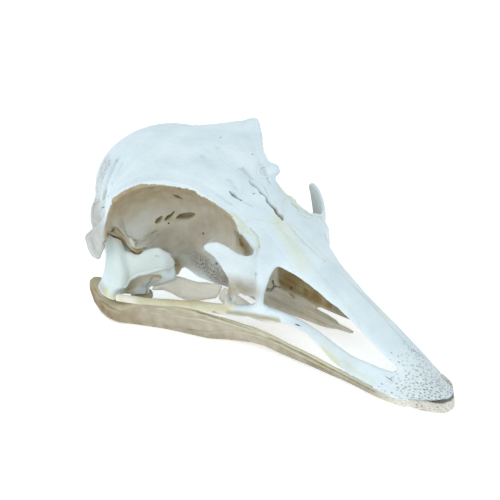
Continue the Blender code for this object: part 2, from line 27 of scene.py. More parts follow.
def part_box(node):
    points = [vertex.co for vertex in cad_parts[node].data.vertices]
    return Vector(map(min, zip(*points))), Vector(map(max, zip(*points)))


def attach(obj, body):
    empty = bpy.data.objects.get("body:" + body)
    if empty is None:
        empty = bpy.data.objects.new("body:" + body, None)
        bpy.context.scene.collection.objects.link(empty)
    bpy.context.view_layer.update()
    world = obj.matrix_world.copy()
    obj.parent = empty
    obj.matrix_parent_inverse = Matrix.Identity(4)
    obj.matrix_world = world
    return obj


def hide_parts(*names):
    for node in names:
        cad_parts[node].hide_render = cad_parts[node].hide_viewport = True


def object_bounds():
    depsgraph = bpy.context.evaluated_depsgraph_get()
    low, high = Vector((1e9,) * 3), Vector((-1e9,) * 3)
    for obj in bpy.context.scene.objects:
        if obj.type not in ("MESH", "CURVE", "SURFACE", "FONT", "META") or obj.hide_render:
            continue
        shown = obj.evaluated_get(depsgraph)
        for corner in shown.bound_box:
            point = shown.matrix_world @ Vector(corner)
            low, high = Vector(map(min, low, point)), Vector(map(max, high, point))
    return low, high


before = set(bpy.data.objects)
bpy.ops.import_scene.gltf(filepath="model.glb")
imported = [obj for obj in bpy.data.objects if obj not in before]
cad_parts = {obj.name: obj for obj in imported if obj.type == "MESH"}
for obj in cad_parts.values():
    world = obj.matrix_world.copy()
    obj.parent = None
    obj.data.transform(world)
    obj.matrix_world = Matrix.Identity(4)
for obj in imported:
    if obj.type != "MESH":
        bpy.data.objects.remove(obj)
CAD_LOW, CAD_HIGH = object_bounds()

log = logging.getLogger("ostrich_skull")

MM = 0.001                     # the model is in metres
BODY = "root"                  # the still model has one body
TINT = "tint"                  # colour attribute that carries the stains and the painted shade
PHOTO_SIZE = 500               # pixels, both ways
FUSED = "upper_skull"          # the bones that are grown together in an adult
FUSED_NODES = ("cranium", "premaxilla", "nasal_left", "nasal_right", "maxilla_left",
               "maxilla_right", "jugal_left", "jugal_right", "lacrimal_left", "lacrimal_right")
IVORY_NODES = ("mandible", "jugal", "palatine", "pterygoid")   # beginnings of their names
WELD_MM = 0.001                # closer than this, two corners of a solid are one
LEAP_MM = 20.0                 # farther apart than this, a line's points are on two bones
NARROW_MM = 3.5                # marks narrower than this need a finer mesh
SWELLING_MM = 7.0              # size of the slight unevenness of real bone

Triple = tuple[float, float, float]
Point = Triple                 # a place on the skull, in mm
Pixel = tuple[float, float]    # column and row of the photograph
Span = tuple[float, float]     # two bounds; of a fade, where it begins and where it is full
Ramp = tuple[float, float, float, float]   # a pattern's values from and to, and what they give
Trace = list[tuple[Vector, Vector]]        # points on a bone, each with its outward direction


class Side(Enum):
    """Sides of the bird; the value is the sign of y."""

    RIGHT = -1
    LEFT = 1

    @property
    def label(self) -> str:
        """Ending of a node's name on this side."""
        return self.name.lower()


NEAR = Side.RIGHT              # the side that the photograph shows


class Stain(Enum):
    """What discolours the bone, and the shade painted onto it; the value is the channel of the
    tint attribute.
    """

    WARM = 0       # fat that has yellowed the bone to ivory and tan; also warm painted shade
    YELLOW = 1     # dried glue and fat along sutures; also the yellow of some painted shade
    BROWN = 2      # dirt and shade in hollows
    POROUS = 3     # spongy grey bone; on the flutes also painted shade


WARM, YELLOW, BROWN, POROUS = Stain
Washes = list[tuple[Stain, np.ndarray]]


# ------------------------------------------------------------------ small tools
def skull(x: float, y: float, z: float) -> Vector:
    """Turn a place on the skull into the scene's frame.

    Args:
        x: Millimetres from the back of the head.
        y: Millimetres to the bird's left.
        z: Millimetres above the table.

    Returns:
        The place in metres.
    """
    return Vector((CAD_LOW.x + x * MM, y * MM, z * MM))


def on_skull(spots: np.ndarray) -> tuple[np.ndarray, np.ndarray, np.ndarray]:
    """Measure places in the skull's own frame.

    Args:
        spots: One row per place, in metres.

    Returns:
        Millimetres from the back of the head, to the bird's left, and up.
    """
    return (spots[:, 0] - CAD_LOW.x) / MM, spots[:, 1] / MM, spots[:, 2] / MM


def smooth_step(values: np.ndarray) -> np.ndarray:
    """Ease values between 0 and 1."""
    held = np.clip(values, 0.0, 1.0)
    return held * held * (3.0 - 2.0 * held)


def fade(values: np.ndarray, span: Span) -> np.ndarray:
    """Ease from 0 at the span's first value to 1 at its second."""
    return smooth_step((values - span[0]) / (span[1] - span[0]))


def closeness(gap: np.ndarray, reach: float | np.ndarray) -> np.ndarray:
    """Ease from 1 at no distance to 0 at the reach."""
    return smooth_step(1.0 - gap / reach)


def blend(weight: float | np.ndarray, amounts: Span) -> Any:
    """Go from the first amount at a weight of 0 to the second at 1."""
    return amounts[0] + (amounts[1] - amounts[0]) * weight


def add_object(name: str, data: bpy.types.ID) -> bpy.types.Object:
    """Put an object in the scene.

    Args:
        name: Its name.
        data: Its mesh, camera or lamp.

    Returns:
        The object, at the origin.
    """
    thing = bpy.data.objects.new(name, data)
    bpy.context.scene.collection.objects.link(thing)
    return thing


def to_mesh(bm: bmesh.types.BMesh, name: str) -> bpy.types.Mesh:
    """Turn a bmesh into a mesh.

    Args:
        bm: What is turned; it is freed.
        name: Name of the mesh.

    Returns:
        The mesh.
    """
    mesh = bpy.data.meshes.new(name)
    bm.to_mesh(mesh)
    bm.free()
    return mesh


def line_distance(places: np.ndarray, line: Sequence[Vector],
                  reach: float) -> tuple[np.ndarray, np.ndarray]:
    """Measure how far places are from a line through points.

    Args:
        places: One row per place, in metres.
        line: Points of the line.
        reach: Places farther than this from the line's box aren't measured.

    Returns:
        The distances, and how far along the line the nearest point is, from 0 to 1.
    """
    best = np.full(len(places), np.inf)
    along = np.zeros(len(places))
    points = np.array([tuple(p) for p in line])
    low, high = points.min(0) - reach, points.max(0) + reach
    inside = np.flatnonzero(((places > low) & (places < high)).all(axis=1))
    steps = max(1, len(line) - 1)
    for index in range(steps):
        start = points[index]
        run = points[min(index + 1, len(line) - 1)] - start
        away = places[inside] - start
        share = np.clip(away @ run / max(float(run @ run), 1e-12), 0.0, 1.0)
        gap = np.linalg.norm(away - share[:, None] * run, axis=1)
        nearer = gap < best[inside]
        best[inside[nearer]] = gap[nearer]
        along[inside[nearer]] = (index + share[nearer]) / steps
    return best, along


# ------------------------------------------------------------------ the camera
@dataclass(frozen=True)
class PhotoCamera:
    """Camera at the photograph's viewing angle."""

    azimuth: float = 48.3          # degrees; the bill points right and forward
    elevation: float = 32.3
    roll: float = -5.3
    distance: float = 0.7          # metres to the plane of the middle
    focal: float = 1737.0          # pixels
    drift: Pixel = (29.9, 17.1)    # pixels off the middle
    middle: Point = (95.0, 0.0, 30.0)      # looked-at place on the skull
    sensor: float = 36.0           # mm

    def axes(self) -> tuple[Vector, Vector, Vector]:
        """Work out which way the camera is turned.

        Returns:
            The right, up and backward directions of the view.
        """
        a, e, r = (math.radians(v) for v in (self.azimuth, self.elevation, self.roll))
        back = Vector((math.sin(a) * math.cos(e), -math.cos(a) * math.cos(e), math.sin(e)))
        flat = Vector((math.cos(a), math.sin(a), 0.0))
        upright = back.cross(flat)
        right = math.cos(r) * flat + math.sin(r) * upright
        up = -math.sin(r) * flat + math.cos(r) * upright
        return right, up, back

    def eye(self) -> Vector:
        """Work out where the lens is.

        Returns:
            The place in metres.
        """
        right, up, back = self.axes()
        scale = self.distance / self.focal
        return (skull(*self.middle) + back * self.distance
                - right * self.drift[0] * scale + up * self.drift[1] * scale)

    def ray(self, pixel: Pixel) -> Vector:
        """Find the direction from the lens through a pixel of the photograph.

        Args:
            pixel: Column and row.

        Returns:
            A unit vector.
        """
        right, up, back = self.axes()
        half = PHOTO_SIZE / 2
        across, down = pixel[0] - half, pixel[1] - half
        return (right * across - up * down - back * self.focal).normalized()

    def build(self) -> None:
        """Make the camera the scene's own."""
        data = bpy.data.cameras.new("photo_camera")
        data.sensor_width = self.sensor
        data.lens = self.focal / PHOTO_SIZE * self.sensor
        data.clip_start, data.clip_end = 0.01, 20.0    # metres
        camera = add_object("photo_camera", data)
        right, up, back = self.axes()
        turn = Matrix((right, up, back)).transposed().to_4x4()
        camera.matrix_world = Matrix.Translation(self.eye()) @ turn
        bpy.context.scene.camera = camera


# ------------------------------------------------------------------ finishes
def srgb(value: str) -> tuple[float, float, float, float]:
    """Turn an sRGB hex colour into linear light.

    Args:
        value: Six hex digits after a hash.

    Returns:
        Linear red, green, blue and an alpha of one.
    """
    parts = [int(value[i:i + 2], 16) / 255 for i in (1, 3, 5)]
    linear = [c / 12.92 if c <= 0.04045 else ((c + 0.055) / 1.055) ** 2.4 for c in parts]
    return (*linear, 1.0)


def add_node(tree: bpy.types.NodeTree, kind: str, settings: dict[str, Any] | None = None,
             **sockets: Any) -> bpy.types.Node:
    """Add a node with its settings, values and links.

    Args:
        tree: Node tree to add to.
        kind: Blender's name of the node's type.
        settings: Attributes of the node itself.
        **sockets: Input name, with _ for a blank, or i and its number; a value or
            an output socket to link.

    Returns:
        The new node.
    """
    node = tree.nodes.new(kind)
    for name, value in (settings or {}).items():
        setattr(node, name, value)
    for name, value in sockets.items():
        key = int(name[1:]) if name[0] == "i" and name[1:].isdigit() else name.replace("_", " ")
        if isinstance(value, bpy.types.NodeSocket):
            tree.links.new(value, node.inputs[key])
        else:
            node.inputs[key].default_value = value
    return node


@dataclass(frozen=True)
class DryBone:
    """Macerated and bleached bone: matt, a little translucent, with fine fibres."""

    name: str
    base: str = "#E0EEF2"          # bleached surface, bluish in the studio light
    cool: str = "#CBDDE5"          # thin places that let light through
    warm: str = "#CBB78F"          # bone that has kept its fat; also warm painted shade
    yellow: str = "#D5DAA4"        # stain along sutures; also the yellow of some painted shade
    brown: str = "#7A6332"         # dirt and painted shade in hollows
    grey: str = "#B4B0A9"          # spongy bone; on the flutes also painted shade
    pore: str = "#77736B"          # painted shade at the bottom of a pore
    grain: str = "#9FB4BE"         # shade between the fibres
    roughness: float = 0.55
    blotch_mm: float = 14.0        # size of a cloud of colour
    mottle_mm: float = 4.2         # size of the uneven places in a stain
    fibre_mm: float = 0.55         # thickness of a bundle of bone fibres
    fibre_stretch: float = 0.16    # how drawn out the fibres are along the skull
    pore_mm: float = 0.78          # spacing of the open pores of spongy bone
    clouds: Ramp = (0.35, 0.68, 0.0, 0.7)      # how far the clouds cover the bone
    broken: Ramp = (0.32, 0.68, 0.8, 1.1)      # how uneven a stain is
    streaks: Ramp = (0.42, 0.78, 0.0, 0.16)    # how strongly the fibres' shade shows
    pitted: Ramp = (0.24, 0.56, 1.0, 0.0)      # how wide the pores are
    spongy: float = 1.3            # how much sooner the pores open than the grey shows
    relief_mm: float = 0.10        # height of the fibres
    lump_mm: float = 0.30          # height of the uneven places
    pore_deep_mm: float = 0.3      # depth of the pores
    reliefs: Triple = (0.55, 0.35, 0.9)        # strengths of these three
    glow: float = 0.08             # share of light that goes through the surface
    glow_mm: float = 1.5           # how deep it goes
    glow_reach: Triple = (1.0, 0.8, 0.6)       # share of that depth for red, green, blue

    def patterns(self, tree: bpy.types.NodeTree) -> list[bpy.types.NodeSocket]:
        """Lay out the patterns on Object coordinates.

        Args:
            tree: The material's nodes.

        Returns:
            Clouds of colour, uneven places, bundles of fibres, and cells of the pores.
        """
        place = add_node(tree, "ShaderNodeTexCoord").outputs["Object"]
        drawn = add_node(tree, "ShaderNodeMapping", Vector=place,
                         Scale=(self.fibre_stretch, 1.0, 1.0)).outputs[0]
        blotch, mottle = (
            add_node(tree, "ShaderNodeTexNoise", Vector=place, Scale=1 / (size * MM),
                     Detail=4.0).outputs[0] for size in (self.blotch_mm, self.mottle_mm))
        fibre = add_node(tree, "ShaderNodeTexNoise", Vector=drawn,
                         Scale=1 / (self.fibre_mm * MM), Detail=3.0, Roughness=0.6).outputs[0]
        cells = add_node(tree, "ShaderNodeTexVoronoi", Vector=place,
                         Scale=1 / (self.pore_mm * MM)).outputs["Distance"]
        return [blotch, mottle, fibre, cells]

    def colour(self, tree: bpy.types.NodeTree, clouds: bpy.types.NodeSocket,
               streaks: bpy.types.NodeSocket, shares: Sequence[bpy.types.NodeSocket],
               pores: bpy.types.NodeSocket) -> bpy.types.NodeSocket:
        """Lay the tones over each other.

        Args:
            tree: The material's nodes.
            clouds: How far the cool tone covers the bone.
            streaks: How strongly the fibres' shade shows.
            shares: How strong each stain is.
            pores: How open the pores are.

        Returns:
            The colour.
        """
        colour: Any = srgb(self.base)
        for share, tone in zip((clouds, streaks, *shares, pores),
                               (self.cool, self.grain, self.warm, self.yellow, self.brown,
                                self.grey, self.pore)):
            colour = add_node(tree, "ShaderNodeMix", {"data_type": "RGBA", "clamp_factor": True},
                              i0=share, i6=colour, i7=srgb(tone)).outputs[2]
        return colour

    def relief(self, tree: bpy.types.NodeTree, fibre: bpy.types.NodeSocket,
               mottle: bpy.types.NodeSocket, pores: bpy.types.NodeSocket) -> bpy.types.NodeSocket:
        """Stack the fine heights.

        Args:
            tree: The material's nodes.
            fibre: Pattern of the fibres.
            mottle: Pattern of the uneven places.
            pores: How open the pores are, which are sunken.

        Returns:
            The normal.
        """
        under: dict[str, bpy.types.NodeSocket] = {}
        for height, strength, deep in zip((fibre, mottle, pores), self.reliefs,
                                          (self.relief_mm, self.lump_mm, self.pore_deep_mm)):
            bump = add_node(tree, "ShaderNodeBump", {"invert": height is pores}, Height=height,
                            Strength=strength, Distance=deep * MM, **under)
            under = {"Normal": bump.outputs[0]}
        return under["Normal"]

    def build(self) -> bpy.types.Material:
        """Make the material.

        Returns:
            A Principled material that reads Object coordinates and the stains.
        """
        material = bpy.data.materials.new(self.name)
        material.use_nodes = True
        tree = material.node_tree
        blotch, mottle, fibre, cells = self.patterns(tree)
        clouds, broken, streaks, holes = (
            add_node(tree, "ShaderNodeMapRange", Value=pattern, From_Min=ramp[0],
                     From_Max=ramp[1], To_Min=ramp[2], To_Max=ramp[3]).outputs[0]
            for pattern, ramp in ((blotch, self.clouds), (mottle, self.broken),
                                  (fibre, self.streaks), (cells, self.pitted)))
        stains = add_node(tree, "ShaderNodeAttribute", {"attribute_name": TINT})
        parts = add_node(tree, "ShaderNodeSeparateColor", Color=stains.outputs["Color"])
        weights = (*parts.outputs, stains.outputs["Alpha"])
        times = {"operation": "MULTIPLY", "use_clamp": True}
        shares = [add_node(tree, "ShaderNodeMath", times, i0=weight, i1=broken).outputs[0]
                  for weight in weights]
        spongy = add_node(tree, "ShaderNodeMath", times, i0=weights[POROUS.value],
                          i1=self.spongy).outputs[0]
        pores = add_node(tree, "ShaderNodeMath", times, i0=holes, i1=spongy).outputs[0]
        shader = tree.nodes["Principled BSDF"]
        for name, socket in (("Base Color", self.colour(tree, clouds, streaks, shares, pores)),
                             ("Normal", self.relief(tree, fibre, mottle, pores))):
            tree.links.new(socket, shader.inputs[name])
        for name, value in (("Roughness", self.roughness), ("Subsurface Weight", self.glow),
                            ("Subsurface Radius", self.glow_reach),
                            ("Subsurface Scale", self.glow_mm * MM)):
            shader.inputs[name].default_value = value
        return material


BLEACHED = DryBone("bleached_cranial_bone")
IVORY = DryBone("fat_stained_bone", base="#EDEBE0", cool="#DCDAD0", warm="#B69A7C",
                yellow="#D8D8A2", brown="#6F5F3C", grain="#9B8C74", blotch_mm=10.0,
                fibre_mm=0.7, fibre_stretch=0.1)


# ------------------------------------------------------------------ marks
@dataclass(frozen=True)
class Mark:
    """A groove, ridge, stain or painted shade along a line; a positive depth cuts in, a negative
    one is proud.
    """

    line: tuple[Pixel, ...]
    width: float                   # mm
    depth: float = 0.0             # mm
    stains: dict[Stain, float] = field(default_factory=dict)   # each with its amount
    both: bool = True              # also on the bird's other side
    taper: bool = True             # narrower towards its ends


@dataclass(frozen=True)
class Hole:
    """An opening that goes into the bone: a foramen or a slit.

    The line runs along its mouth, and width is across it at each point.
    """

    line: tuple[Pixel, ...]
    widths: tuple[float, ...]      # mm
    depth: float                   # mm
    both: bool = True
    dirt: float = 0.9              # brown of its walls: dirt and painted shade


class Workshop:
    """Throws pixels of the photograph back onto the solid model."""

    def __init__(self, camera: PhotoCamera) -> None:
        """Keep the camera and a search tree for each solid and for the fused ones.

        Args:
            camera: Camera that took the photograph.
        """
        self.camera = camera
        self.trees: dict[str, BVHTree] = {name: self.tree([name]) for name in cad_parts}
        self.trees[FUSED] = self.tree(FUSED_NODES)

    @staticmethod
    def tree(nodes: Sequence[str]) -> BVHTree:
        """Make a search tree of some solids together.

        Args:
            nodes: Names of the solids.

        Returns:
            The tree, in metres.
        """
        spots: list[Vector] = []
        faces: list[tuple[int, ...]] = []
        for node in nodes:
            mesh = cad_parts[node].data
            start = len(spots)
            spots += [v.co for v in mesh.vertices]
            faces += [tuple(start + i for i in p.vertices) for p in mesh.polygons]
        return BVHTree.FromPolygons(spots, faces)

    def trace(self, node: str, line: Sequence[Pixel]) -> Trace:
        """Find a line's points on a bone.

        Args:
            node: Name of the bone.
            line: Pixels of the photograph.

        Returns:
            Each point with the direction out of the bone there; pixels that miss the
            bone are left out.
        """
        hits = [self.trees[node].ray_cast(self.camera.eye(), self.camera.ray(pixel))
                for pixel in line]
        found = [(hit[0], hit[1]) for hit in hits if hit[0] is not None]
        if any((b[0] - a[0]).length > LEAP_MM * MM for a, b in zip(found, found[1:])):
            log.info("%s: the line from %s leaps across a gap", node, line[0])
        return found


def flipped(spots: Trace) -> Trace:
    """Mirror points to the bird's other side."""
    turn = Vector((1, -1, 1))
    return [(p * turn, n * turn) for p, n in spots]


# ------------------------------------------------------------------ fine bones
def grown_copy(node: str, swell_mm: float) -> bpy.types.Mesh:
    """Copy a solid's mesh and let the copy grow.

    Args:
        node: Name of the solid.
        swell_mm: How far its surface moves outwards.

    Returns:
        The copy.
    """
    bm = bmesh.new()
    bm.from_mesh(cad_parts[node].data)
    bmesh.ops.remove_doubles(bm, verts=bm.verts[:], dist=WELD_MM * MM)
    bm.normal_update()
    grown = [(v, v.co + v.normal * swell_mm * MM) for v in bm.verts]
    for vert, place in grown:
        vert.co = place
    return to_mesh(bm, node + "_copy")


class FineBone:
    """A bone's fine surface, grown from a copy of its solid."""

    facing: float = 0.1            # a mark is cut only where the surface faces it
    ends: Span = (0.04, 0.96)      # a tapered mark keeps the width that it has there
    mouth_mm: float = 1.2          # how far a burr stands out of a slit
    point: float = 0.5             # a slit's width at its bottom, against its mouth
    dirty_mm: Span = (0.5, 0.9)    # depths between which an opening's walls turn brown with dirt and painted shade
    crease: Span = (0.0, 0.22)     # slopes at which a groove begins to take painted shade, and is full
    hollow: float = 0.5            # how brown that painted shade is

    def __init__(self, node: str, shop: Workshop, grid_mm: float, soften: int,
                 swell_mm: float = 0.0) -> None:
        """Copy the solid and remesh it.

        Args:
            node: Name of the solid, or of the fused ones.
            shop: Where pixels are traced.
            grid_mm: Spacing of the fine mesh.
            soften: Rounds of smoothing, which take the facets away.
            swell_mm: How far the solids grow before they are remeshed, which
                closes the sutures between them, and shrink back after.
        """
        self.node = node
        self.shop = shop
        self.side = next((s for s in Side if node.endswith("_" + s.label)), None)
        bm = bmesh.new()
        for name in FUSED_NODES if node == FUSED else (node,):
            mesh = grown_copy(name, swell_mm)
            bm.from_mesh(mesh)
            bpy.data.meshes.remove(mesh)
        self.obj = add_object(node + "_bone", to_mesh(bm, node + "_bone"))
        grid = self.obj.modifiers.new("grid", "REMESH")
        grid.mode = "VOXEL"
        grid.voxel_size = grid_mm * MM
        relax = self.obj.modifiers.new("relax", "SMOOTH")
        relax.factor = 0.5
        relax.iterations = soften
        self.bake()
        if swell_mm:
            spots, outward = self.places()
            self.move(spots - outward * swell_mm * MM)

    def bake(self) -> None:
        """Replace the mesh by what its modifiers make of it."""
        bpy.context.view_layer.update()
        graph = bpy.context.evaluated_depsgraph_get()
        baked = bpy.data.meshes.new_from_object(self.obj.evaluated_get(graph))
        self.obj.modifiers.clear()
        self.obj.data = baked

    def places(self) -> tuple[np.ndarray, np.ndarray]:
        """Read the mesh's points.

        Returns:
            Their places in metres and their outward directions, a row for each.
        """
        mesh = self.obj.data
        read = []
        for source, name in ((mesh.vertices, "co"), (mesh.vertex_normals, "vector")):
            values = np.empty(len(mesh.vertices) * 3, np.float32)
            source.foreach_get(name, values)
            read.append(values.reshape(-1, 3).astype(float))
        return read[0], read[1]

    def move(self, spots: np.ndarray) -> None:
        """Put the mesh's points in new places.

        Args:
            spots: One row per point, in metres.
        """
        self.obj.data.vertices.foreach_set("co", spots.astype(np.float32).ravel())
        self.obj.data.update()

    def lines(self, mark: Mark | Hole) -> list[Trace]:
        """Trace a mark on this bone.

        Args:
            mark: What is traced.

        Returns:
            Its line and its mirror image, those of the two that lie on this bone.
        """
        if self.side is None:
            spots = self.shop.trace(self.node, mark.line)
            return [spots, flipped(spots)][:1 + mark.both] if spots else []
        if self.side is not NEAR and not mark.both:
            return []
        spots = self.shop.trace(f"{self.node.rsplit('_', 1)[0]}_{NEAR.label}", mark.line)
        if not spots:
            return []
        return [spots if self.side is NEAR else flipped(spots)]

    def refine(self, marks: Iterable[Mark]) -> None:
        """Split the faces near narrow marks so that they come out crisp.

        Args:
            marks: Marks that will be cut.
        """
        spots, _ = self.places()
        near = np.zeros(len(spots), bool)
        for mark in marks:
            for line in self.lines(mark):
                gap, _ = line_distance(spots, [p for p, _ in line], mark.width * MM)
                near |= gap < mark.width * MM
        if not near.any():
            return
        bm = bmesh.new()
        bm.from_mesh(self.obj.data)
        edges = [e for e in bm.edges if near[e.verts[0].index] and near[e.verts[1].index]]
        bmesh.ops.subdivide_edges(bm, edges=edges, cuts=1, use_grid_fill=True)
        bm.to_mesh(self.obj.data)
        bm.free()

    def cut(self, marks: Iterable[Mark]) -> None:
        """Carve grooves and raise ridges.

        Args:
            marks: Marks with a depth.
        """
        spots, outward = self.places()
        sunk = np.zeros(len(spots))
        for mark in marks:
            for line in self.lines(mark):
                gap, along = line_distance(spots, [p for p, _ in line], mark.width * MM)
                facing = outward @ np.array(sum((n for _, n in line), Vector()).normalized())
                ends = np.sin(np.pi * np.clip(along, *self.ends)) ** 0.5 if mark.taper else 1.0
                press = closeness(gap, mark.width / 2 * MM * ends)
                sunk += press * (facing > self.facing) * mark.depth * MM
        self.move(spots - outward * sunk[:, None])

    def pierce(self, holes: Iterable[Hole]) -> None:
        """Cut slits and foramina into the bone.

        Args:
            holes: Openings; a hole of one point is round.
        """
        pairs = [(hole, self.lines(hole)) for hole in holes]
        for turn in range(2):          # the two sides' burrs would meet in the middle
            cutter = bmesh.new()
            for hole, lines in pairs:
                for line in lines[turn:turn + 1]:
                    self.blade(cutter, line, hole)
            if cutter.verts:
                bmesh.ops.recalc_face_normals(cutter, faces=cutter.faces[:])
                self.subtract(to_mesh(cutter, "burr"))
            else:
                cutter.free()

    def subtract(self, mesh: bpy.types.Mesh) -> None:
        """Take a closed mesh's space out of the bone.

        Args:
            mesh: Shape of the burr.
        """
        burr = add_object("burr", mesh)
        boolean = self.obj.modifiers.new("burr", "BOOLEAN")
        boolean.operation = "DIFFERENCE"
        boolean.solver = "EXACT"
        boolean.object = burr
        for careful in (False, True):      # the second is slow, and seldom needed
            boolean.use_self = careful
            graph = bpy.context.evaluated_depsgraph_get()
            left = len(self.obj.evaluated_get(graph).data.polygons)
            if left > len(self.obj.data.polygons) / 2:
                break
            log.info("%s: %s took too much", self.node, mesh.name)
        self.bake()
        bpy.data.objects.remove(burr)

    def blade(self, bm: bmesh.types.BMesh, line: Trace, hole: Hole) -> None:
        """Add a burr: a drawn-out ball for a round hole, a swept wedge for a slit.

        Args:
            bm: What the burr is added to.
            line: The hole's traced line.
            hole: Its sizes.
        """
        inward = -sum((n for _, n in line), Vector()).normalized()
        if len(line) == 1:
            ball = bmesh.ops.create_icosphere(bm, subdivisions=2, radius=hole.widths[0] / 2 * MM)
            stretch = Matrix.Scale(2 * hole.depth / hole.widths[0], 4, inward)
            bmesh.ops.transform(bm, matrix=Matrix.Translation(line[0][0]) @ stretch,
                                verts=ball["verts"])
            return
        lift = -inward * self.mouth_mm * MM
        across = (line[-1][0] - line[0][0]).cross(inward).normalized()
        ring = None
        for index, (spot, _) in enumerate(line):
            half = across * hole.widths[min(index, len(hole.widths) - 1)] / 2 * MM
            deep = spot + inward * hole.depth * MM
            corners = [bm.verts.new(p) for p in (
                spot + lift - half, spot + lift + half,
                deep + half * self.point, deep - half * self.point)]
            if ring is None:
                bm.faces.new(corners)
            else:
                for k in range(4):
                    bm.faces.new((ring[k], ring[(k + 1) % 4], corners[(k + 1) % 4], corners[k]))
            ring = corners
        bm.faces.new(ring)

    def weather(self, height_mm: float) -> None:
        """Give the surface the slight unevenness of real bone.

        Args:
            height_mm: How far a swelling stands out.
        """
        spots, outward = self.places()
        shift = Vector((len(self.node),) * 3)      # names of another length get another pattern
        scale = 1.0 / (SWELLING_MM * MM)
        swell = np.array([noise.noise(Vector(p) * scale + shift) for p in spots])
        self.move(spots + outward * (swell * height_mm * MM)[:, None])

    def dirt(self, holes: Iterable[Hole]) -> np.ndarray:
        """Brown the walls of the openings, which lie inside the solid: dirt, and shade painted
        deeper in.

        Args:
            holes: Openings that were pierced.

        Returns:
            A weight for each point.
        """
        spots, _ = self.places()
        weight = np.zeros(len(spots))
        for hole in holes:
            for line in self.lines(hole):
                reach = (hole.depth + max(hole.widths)) * MM
                gap, _ = line_distance(spots, [p for p, _ in line], reach)
                for index in np.flatnonzero(gap < reach):
                    near = self.shop.trees[self.node].find_nearest(Vector(spots[index]))
                    deep = (near[0] - Vector(spots[index])).dot(near[1]) / MM
                    share = float(np.interp(deep, self.dirty_mm, (0.0, hole.dirt)))
                    weight[index] = max(weight[index], share)
        return weight

    def smears(self, marks: Iterable[Mark],
               spots: np.ndarray) -> Iterator[tuple[Stain, np.ndarray]]:
        """Work out the stains of marks, one at a time.

        Args:
            marks: Marks, with or without stains.
            spots: Places of the points.

        Yields:
            A stain with a weight for each point.
        """
        for mark in marks:
            for line in self.lines(mark) if mark.stains else ():
                gap, _ = line_distance(spots, [p for p, _ in line], mark.width * MM)
                weight = closeness(gap, mark.width / 2 * MM)
                for kind, amount in mark.stains.items():
                    yield kind, weight * amount

    def stain(self, marks: Iterable[Mark], washes: Washes) -> None:
        """Lay the stains and the painted shade into the tint attribute; where they overlap, the
        strongest shows.

        Args:
            marks: Marks, with or without stains.
            washes: Stains with a weight for each point.
        """
        spots, outward = self.places()
        tint = np.zeros((len(spots), len(Stain)))
        # painted shade in the grooves, deepest where they are sharpest
        painted_creases = [(BROWN, self.hollow * self.hollows(spots, outward))]
        for kind, weight in chain(washes, self.smears(marks, spots), painted_creases):
            tint[:, kind.value] = np.maximum(tint[:, kind.value], weight)
        layer = self.obj.data.attributes.new(TINT, "FLOAT_COLOR", "POINT")
        layer.data.foreach_set("color", np.clip(tint, 0, 1).astype(np.float32).ravel())

    def hollows(self, spots: np.ndarray, outward: np.ndarray) -> np.ndarray:
        """Measure how deep in a groove each point lies.

        Args:
            spots: Places of the points.
            outward: Their outward directions.

        Returns:
            A weight from 0 on flat bone to 1 in a sharp groove.
        """
        mesh = self.obj.data
        ends = np.empty(len(mesh.edges) * 2, np.int32)
        mesh.edges.foreach_get("vertices", ends)
        a, b = ends.reshape(-1, 2).T
        span = spots[b] - spots[a]
        length = np.linalg.norm(span, axis=1) + 1e-9
        depth = np.zeros(len(spots))
        np.add.at(depth, a, np.einsum("ij,ij->i", span, outward[a]) / length)
        np.add.at(depth, b, -np.einsum("ij,ij->i", span, outward[b]) / length)
        count = np.maximum(np.bincount(np.concatenate((a, b)), minlength=len(spots)), 1)
        depth /= count
        for _ in range(2):
            total = np.zeros(len(spots))
            np.add.at(total, a, depth[b])
            np.add.at(total, b, depth[a])
            depth = 0.5 * depth + 0.5 * total / count
        return fade(depth, self.crease)

    def finish(self, materials: dict[str, bpy.types.Material]) -> None:
        """Dress the bone and let it stand for its solid, or each fused bone for its own.

        Args:
            materials: Materials made so far, by name.
        """
        pieces = self.parted() if self.node == FUSED else {self.node: self.obj}
        for node, piece in pieces.items():
            ivory = node.startswith(IVORY_NODES)
            finish = IVORY if ivory else BLEACHED
            if finish.name not in materials:
                materials[finish.name] = finish.build()
            piece.data.materials.clear()
            piece.data.materials.append(materials[finish.name])
            piece.data.shade_smooth()
            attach(piece, BODY)
            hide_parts(node)
            log.info("%s: %d faces", piece.name, len(piece.data.polygons))

    def seams(self, reach: float = 3.0, wave: float = 0.35,
              wave_size: float = 1.6) -> tuple[np.ndarray, np.ndarray]:
        """Find which fused bone each point belongs to.

        Args:
            reach: Millimetres within which a bone is looked for.
            wave: How far a suture wanders, in millimetres.
            wave_size: How long its bends are, in millimetres.

        Returns:
            The distance from each bone, a row for each, and how far each point is
            from the nearest suture, in millimetres.
        """
        spots, _ = self.places()
        away = np.full((len(FUSED_NODES), len(spots)), reach)
        for row, node in enumerate(FUSED_NODES):
            low, high = (np.array(c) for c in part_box(node))
            near = ((spots > low - reach * MM) & (spots < high + reach * MM)).all(axis=1)
            for index in np.flatnonzero(near):
                hit = self.shop.trees[node].find_nearest(Vector(spots[index]), reach * MM)
                if hit[0] is not None:
                    away[row, index] = hit[3] / MM
        order = np.sort(away, axis=0)
        for index in np.flatnonzero(order[1] - order[0] < 3 * wave):   # others stay as they are
            place = Vector(spots[index]) / (wave_size * MM)
            for row in range(len(FUSED_NODES)):
                apart = Vector((7.0 * row, 0, 0))      # each bone's edge wanders its own way
                away[row, index] += wave * noise.noise(place + apart)
        order = np.sort(away, axis=0)
        return away, order[1] - order[0]

    def suture(self, width: float = 0.7, depth: float = 0.07, haze: float = 2.0,
               amount: float = 0.08) -> Washes:
        """Carve the sutures between the fused bones.

        Args:
            width: Millimetres across.
            depth: Millimetres at the middle.
            haze: Millimetres over which the glue has crept out of them.
            amount: How strong the stains are.

        Returns:
            The stains that have gathered in them.
        """
        spots, outward = self.places()
        _, away = self.seams()
        press = closeness(away, width)
        self.move(spots - outward * (press * depth * MM)[:, None])
        return [(BROWN, amount * press), (YELLOW, amount * closeness(away, haze))]

